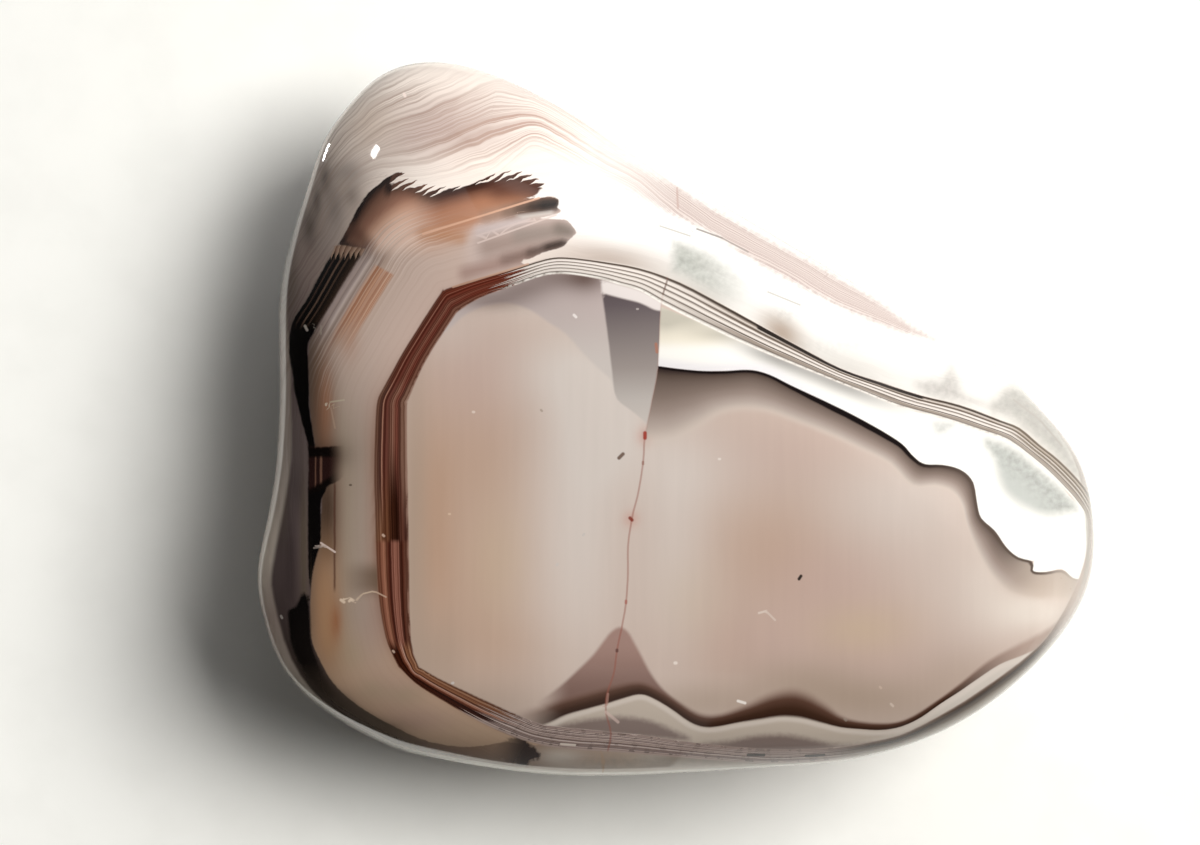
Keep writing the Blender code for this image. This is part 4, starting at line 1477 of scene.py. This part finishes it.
def paint_arch(p, under):
    """The banded arch: rust on the left, fine grey lines over the top and thin lines along the bottom."""
    across = p.field("arch_across")
    upper = p.tones(across, RUST_UPPER)
    middle = p.tones(across, RUST_MIDDLE)
    lower = p.tones(across, RUST_LOWER)
    core = p.calc("ABSOLUTE", p.calc("SUBTRACT", across, RUST_MIDLINE))
    rust = p.mix(p.slant(core, *RUST_CORE), upper, middle)
    rust = p.mix(p.fade("rust lower layers"), rust, lower)
    rust = p.tint(p.fade("redder rust"), rust, "redder rust")
    rust = p.tint(p.fade("reddest rust"), rust, "reddest rust")
    rust = p.mix(p.fade("rust bend"), rust, p.tones(across, RUST_BEND))
    threads = p.rows("threads in arch", across)
    rust = p.tint(threads, rust, "threads in rust", "MULTIPLY")
    grey = p.tones(across, GREY_LINES)
    thick = p.both(p.band(across, *BANDS["thick grey line"]), p.stretch("thick grey line"))
    grey = p.tint(thick, grey, "thick grey line")
    uneven = p.rows("uneven in arch", across)
    grey = p.tint(p.both(uneven, p.fade("uneven grey lines")), grey, "uneven grey lines", "MULTIPLY")
    earthy = p.both(p.fade("earthy grey lines"), p.level("earthy lines end", across))
    grey = p.tint(earthy, grey, "earthy grey")
    grey = p.tint(p.both(earthy, threads), grey, "earthy thread")
    grey = p.tint(threads, grey, "threads in grey", "MULTIPLY")
    strata = p.rows("layers in foot", across)
    low = p.tint(strata, pigment("layer in foot"), "pale layer in foot")
    flecks = p.level("flecks", p.mottle("flecks"))
    cuts = p.both(flecks, p.band(p.lines(across, *CUT_LINES), *BANDS["cut in foot"]))
    low = p.tint(cuts, low, "cut in foot")
    low = p.tint(threads, low, "threads in foot", "MULTIPLY")
    right = p.tones(across, FOOT_RIGHT)
    low = p.mix(p.fade("right foot lines"), low, right)
    tip = p.fade("pale foot at tip")
    low = p.tint(tip, low, "foot at tip")
    ribbon = p.mix(p.fade("grey lines over foot lines"), low, grey)
    stagger = p.calc("MULTIPLY_ADD", p.lines(across, *RUST_END_LINES), RUST_STAGGER, p.x)
    end = p.between(p.fade("end of rust upwards"), *RUST_END)
    end = p.calc("MULTIPLY_ADD", across, p.between(p.fade("end of rust upwards"), *RUST_LEAN), end)
    gone = p.level("end of rust", p.calc("SUBTRACT", stagger, end))
    ribbon = p.mix(gone, rust, ribbon)
    arch = p.both(p.other(p.inside("outside")), p.other(p.inside("chamber")))
    colour = p.mix(arch, under, ribbon)
    tip_edge = p.both(p.fade("edge at tip"), p.stretch("edge at tip down"))
    tip_edge = p.both(p.band(p.field("rim"), *BANDS["edge at tip"]), tip_edge)
    return p.tint(tip_edge, colour, "edge at tip")


def paint_room_edges(p, under):
    """Layers against the arch inside the rooms: the lilac wedge, the block, the cream band and its shade."""
    room = p.inside("chamber")
    right = p.inside("crack")
    left = p.both(p.other(right), room)
    lilac = p.tint(p.fade("lilac pales"), pigment("lilac"), "pale lilac")
    colour = p.mix(p.both(p.inside("lilac"), left, STRENGTHS["lilac"]), under, lilac)
    colour = p.tint(p.both(p.read("arch_shadow"), left), colour, "arch shadow")
    colour = p.tint(p.both(p.inside("white_gap"), left), colour, "white gap")
    block = p.tones(p.share_down(BLOCK_SPAN), BLOCK_DOWN)
    colour = p.mix(p.both(p.inside("block"), left), colour, block)
    line = p.field("dark_line")
    fade = p.field("dark_across")
    dim = p.tones(fade, DARK_ACROSS)
    dim = p.tint(p.fade("pale shade at tip"), dim, "shade at tip")
    shaded = p.both(p.level("shade ends", fade), p.level("shade starts", line), right, room)
    colour = p.mix(shaded, colour, dim)
    colour = p.mix(p.both(p.inside("cream"), right), colour, p.read("cream_colour", "Color"))
    wide = p.between(p.stretch("dark line widens"), *DARK_LINE_WIDTH)
    past = p.calc("SUBTRACT", line, wide)
    edge = p.both(p.level("dark line starts", line), p.level("dark line ends", past))
    edge = p.both(edge, right, p.fade("dark line ends"))
    ink = p.tint(p.fade("dark line greys"), pigment("dark line"), "greyed dark line")
    colour = p.mix(edge, colour, ink)
    return p.tint(p.both(p.mottle("mist"), p.read("misted")), colour, "mist")


def paint_wave(p, under):
    """The dark wavy band low in the rooms, the pale band and lenses under it, and the grey wedge."""
    room = p.inside("chamber")
    wedge = p.tint(p.fade("wedge darkens"), pigment("wedge"), "dark wedge")
    colour = p.mix(p.both(p.inside("wedge"), room, p.fade("wedge")), under, wedge)
    below = p.both(p.other(p.inside("wave")), room)
    pale = p.tint(p.fade("pale layer warms"), pigment("pale layer"), "warm pale layer")
    pale = p.tint(p.inside("lens"), pale, "lens")
    pale = p.tint(p.band(p.field("wave"), *BANDS["line under wave"]), pale, "line under wave")
    colour = p.mix(p.both(below, p.fade("pale layer")), colour, pale)
    level = p.field("wave_across")
    ramp = p.tones(level, WAVE_ACROSS)
    ramp = p.tint(p.fade("wave pales"), ramp, "pale wave")
    dark = p.both(p.level("wave starts", level), p.level("wave ends", level), room, p.fade("wave"))
    return p.mix(dark, colour, ramp)


def paint_marks(p, under):
    """The hairline crack with its red dots, the small flecks, scratches and hairs on the stone, and a painted
    glint on the lobe.
    """
    hair = p.both(p.level("hairline", p.calc("ABSOLUTE", p.field("crack"))), p.read("upper_share"))
    strength = p.between(p.fade("crack strengthens"), *CRACK_SHARE)
    colour = p.tint(p.both(hair, strength, p.other(p.inside("outside", CRACK_END))), under, "crack")
    run = p.add("SeparateXYZ")
    p.feed(run.inputs[0], p.read("mark_run", "Vector"))
    along, aside, length = run.outputs
    past = p.calc("MAXIMUM", p.calc("SUBTRACT", along, length), p.calc("MULTIPLY", along, -1.0))
    past = p.calc("MAXIMUM", past, 0.0)
    gap = p.calc("SQRT", p.calc("MULTIPLY_ADD", past, past, p.calc("MULTIPLY", aside, aside)))
    near = p.level("mark", p.calc("DIVIDE", gap, p.read("mark_width")))
    return p.mix(p.both(near, p.read("mark_look", "Alpha")), colour, p.read("mark_look", "Color"))


def agate_material():
    """The stone's painted and polished surface."""
    material = bpy.data.materials.new("polished_agate")
    material.use_nodes = True
    tree = material.node_tree
    tree.nodes.clear()
    p = Painter(tree)
    colour = paint_ground(p)
    for paint in (paint_left_zone, paint_black, paint_room_edges, paint_wave, paint_arch, paint_marks):
        colour = paint(p, colour)
    surface = p.add("BsdfPrincipled")
    surface.inputs["IOR"].default_value = AGATE_IOR
    p.feed(surface.inputs["Base Color"], colour)
    p.feed(surface.inputs["Roughness"], p.between(p.mottle("polish"), *POLISH))
    p.feed(p.add("OutputMaterial").inputs["Surface"], surface.outputs[0])
    return material


def write_on_skin(name, kind, part, values):
    """Keeps one value for each skin point in the mesh."""
    SKIN.attributes.new(name, kind, "POINT").data.foreach_set(part, values.ravel().astype(np.float32))


def lay_skin():
    """The stone with its numbers, its soft colours and its finish."""
    plan = np.column_stack([PIXELS, DEPTH * DEPTH_SCALE])
    numbers, colours, run = trace_pattern(DEPTH)
    vectors = {"plan": plan, "streaked": plan * np.array(STREAK), "mark_run": run}
    for name, values in vectors.items():
        write_on_skin(name, "FLOAT_VECTOR", "vector", values)
    for name, values in numbers.items():
        write_on_skin(name, "FLOAT", "value", values)
    for name, values in colours.items():
        if values.shape[1] == 3:
            values = np.column_stack([values, np.ones(len(values))])
        write_on_skin(name, "FLOAT_COLOR", "color", values)
    SKIN.materials.append(agate_material())
    stone = bpy.data.objects.new("agate_stone", SKIN)
    bpy.context.scene.collection.objects.link(stone)
    return stone


def new_material(name):
    """A new material, its surface and its bench."""
    material = bpy.data.materials.new(name)
    material.use_nodes = True
    tree = material.node_tree
    return material, tree.nodes["Principled BSDF"], Bench(tree)


def flat_thing(name, corners, faces, material):
    """A thing of flat faces with one material."""
    mesh = bpy.data.meshes.new(name)
    mesh.from_pydata(corners, [], faces)
    mesh.materials.append(material)
    thing = bpy.data.objects.new(name, mesh)
    bpy.context.scene.collection.objects.link(thing)
    return thing


def show_only_in_polish(thing):
    """Hides a thing from everything but the stone's polish."""
    thing.visible_camera = thing.visible_diffuse = thing.visible_shadow = thing.visible_transmission = False


def floor_material():
    """A plain pale table top with the faintest grain."""
    material, surface, bench = new_material("pale_table")
    where = bench.add("TexCoord").outputs["Object"]
    grain = bench.step(noise(bench, where, TABLE_GRAINS, 3.0), 0.35, 0.75)
    colour = bench.mix(grain, TABLE_PALE, TABLE_GRAIN)
    bench.feed(surface.inputs["Base Color"], colour)
    surface.inputs["Roughness"].default_value = TABLE_ROUGHNESS
    surface.inputs["Specular IOR Level"].default_value = TABLE_SHINE
    return material


def lay_table():
    """The table the stone rests on."""
    corners = [(TABLE_WIDTH * a, TABLE_WIDTH * b, 0.0) for a, b in SQUARE]
    table = flat_thing("table_top", corners, [(0, 1, 2, 3)], floor_material())


def lamp(name, bearing, lift, distance, width, height, power, colour):
    """A rectangular lamp facing the stone, from its compass bearing and lift, hidden from the polish."""
    light = bpy.data.lights.new(name, "AREA")
    light.shape = "RECTANGLE"
    light.size, light.size_y = width, height
    light.energy = power
    light.color = colour
    place = bpy.data.objects.new(name, light)
    away = Vector(unit_vectors(math.radians(bearing), math.radians(lift)))
    place.location = away * distance
    place.rotation_euler = away.to_track_quat("Z", "Y").to_euler()
    place.visible_glossy = False
    bpy.context.scene.collection.objects.link(place)


def room_light():
    """The room round the table: pale near the horizon, dim overhead and darkest away from the window."""
    world = bpy.data.worlds.new("room")
    world.use_nodes = True
    bench = Bench(world.node_tree)
    parts = bench.add("SeparateXYZ")
    bench.feed(parts.inputs[0], bench.add("TexCoord").outputs["Generated"])
    level = bench.ramp(parts.outputs[2], ROOM_LEVELS)
    towards = bench.calc("MULTIPLY", parts.outputs[0], math.cos(math.radians(ROOM_BEARING)))
    towards = bench.calc("MULTIPLY_ADD", parts.outputs[1], math.sin(math.radians(ROOM_BEARING)), towards)
    sky = world.node_tree.nodes["Background"]
    bench.feed(sky.inputs["Color"], level)
    bench.feed(sky.inputs["Strength"], bench.ramp(bench.between(towards, 0.5, 1.0), ROOM_SIDES))
    bpy.context.scene.world = world


def stand_card():
    """A black card beside the table's dark side, with a painted glow at its ends, seen only in the polish of
    the stone as a dark reflection.
    """
    bearings = np.linspace(*CARD_BEARINGS, CARD_STEPS)
    turns = np.radians(bearings)
    low = [(CARD_AWAY * math.cos(turn), CARD_AWAY * math.sin(turn), 0.0) for turn in turns]
    high = [(x, y, CARD_HEIGHT) for x, y, _ in low]
    faces = [(i, i + 1, CARD_STEPS + i + 1, CARD_STEPS + i) for i in range(CARD_STEPS - 1)]
    material, surface, bench = new_material("black_card")
    glow = bench.add("Attribute", attribute_name="glow")
    bench.feed(surface.inputs["Emission Color"], glow.outputs["Color"])
    surface.inputs["Emission Strength"].default_value = 1.0
    surface.inputs["Base Color"].default_value = CARD_BLACK
    surface.inputs["Roughness"].default_value = 1.0
    card = flat_thing("black_card", low + high, faces, material)
    glow = np.interp(bearings, *zip(*CARD_GLOW))
    glow = np.tile(np.column_stack([glow, glow, glow, np.ones(CARD_STEPS)]), (2, 1))
    card.data.attributes.new("glow", "FLOAT_COLOR", "POINT").data.foreach_set("color", glow.ravel())
    show_only_in_polish(card)


def hang_glints():
    """Two small bright panes before the card, seen only in the polish as the two glints by the lobe."""
    material, surface, _ = new_material("bright_pane")
    surface.inputs["Emission Color"].default_value = (1.0, 1.0, 1.0, 1.0)
    surface.inputs["Emission Strength"].default_value = PANE_GLOW
    for name, place, facing, wide, high in PANES:
        out = Vector(facing).normalized()
        side = out.cross(Vector((0.0, 0.0, 1.0))).normalized()
        up = side.cross(out)
        middle = Vector(place) + out * PANE_AWAY
        corners = [(middle + side * wide * a + up * high * b) * MM for a, b in SQUARE]
        pane = flat_thing(name, corners, [(0, 1, 2, 3)], material)
        show_only_in_polish(pane)


def aim_camera():
    """The camera looks straight down, as in the picture."""
    data = bpy.data.cameras.new("camera")
    data.lens = LENS
    data.sensor_width = SENSOR
    data.clip_start = NEAR_CLIP
    camera = bpy.data.objects.new("camera", data)
    x = (PICTURE[0] / 2.0 - PLAN_MIDDLE[0]) * PIXEL * MM
    y = (PLAN_MIDDLE[1] - PICTURE[1] / 2.0) * PIXEL * MM
    camera.location = (x, y, (BELT_HEIGHT + EYE_DISTANCE) * MM)
    bpy.context.scene.collection.objects.link(camera)
    bpy.context.scene.camera = camera


bpy.context.scene.view_settings.view_transform = "Standard"
room_light()
for settings in LAMPS:
    lamp(*settings)
aim_camera()
lay_table()
stand_card()
hang_glints()
stone = lay_skin()
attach(stone, "root")
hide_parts("agate")
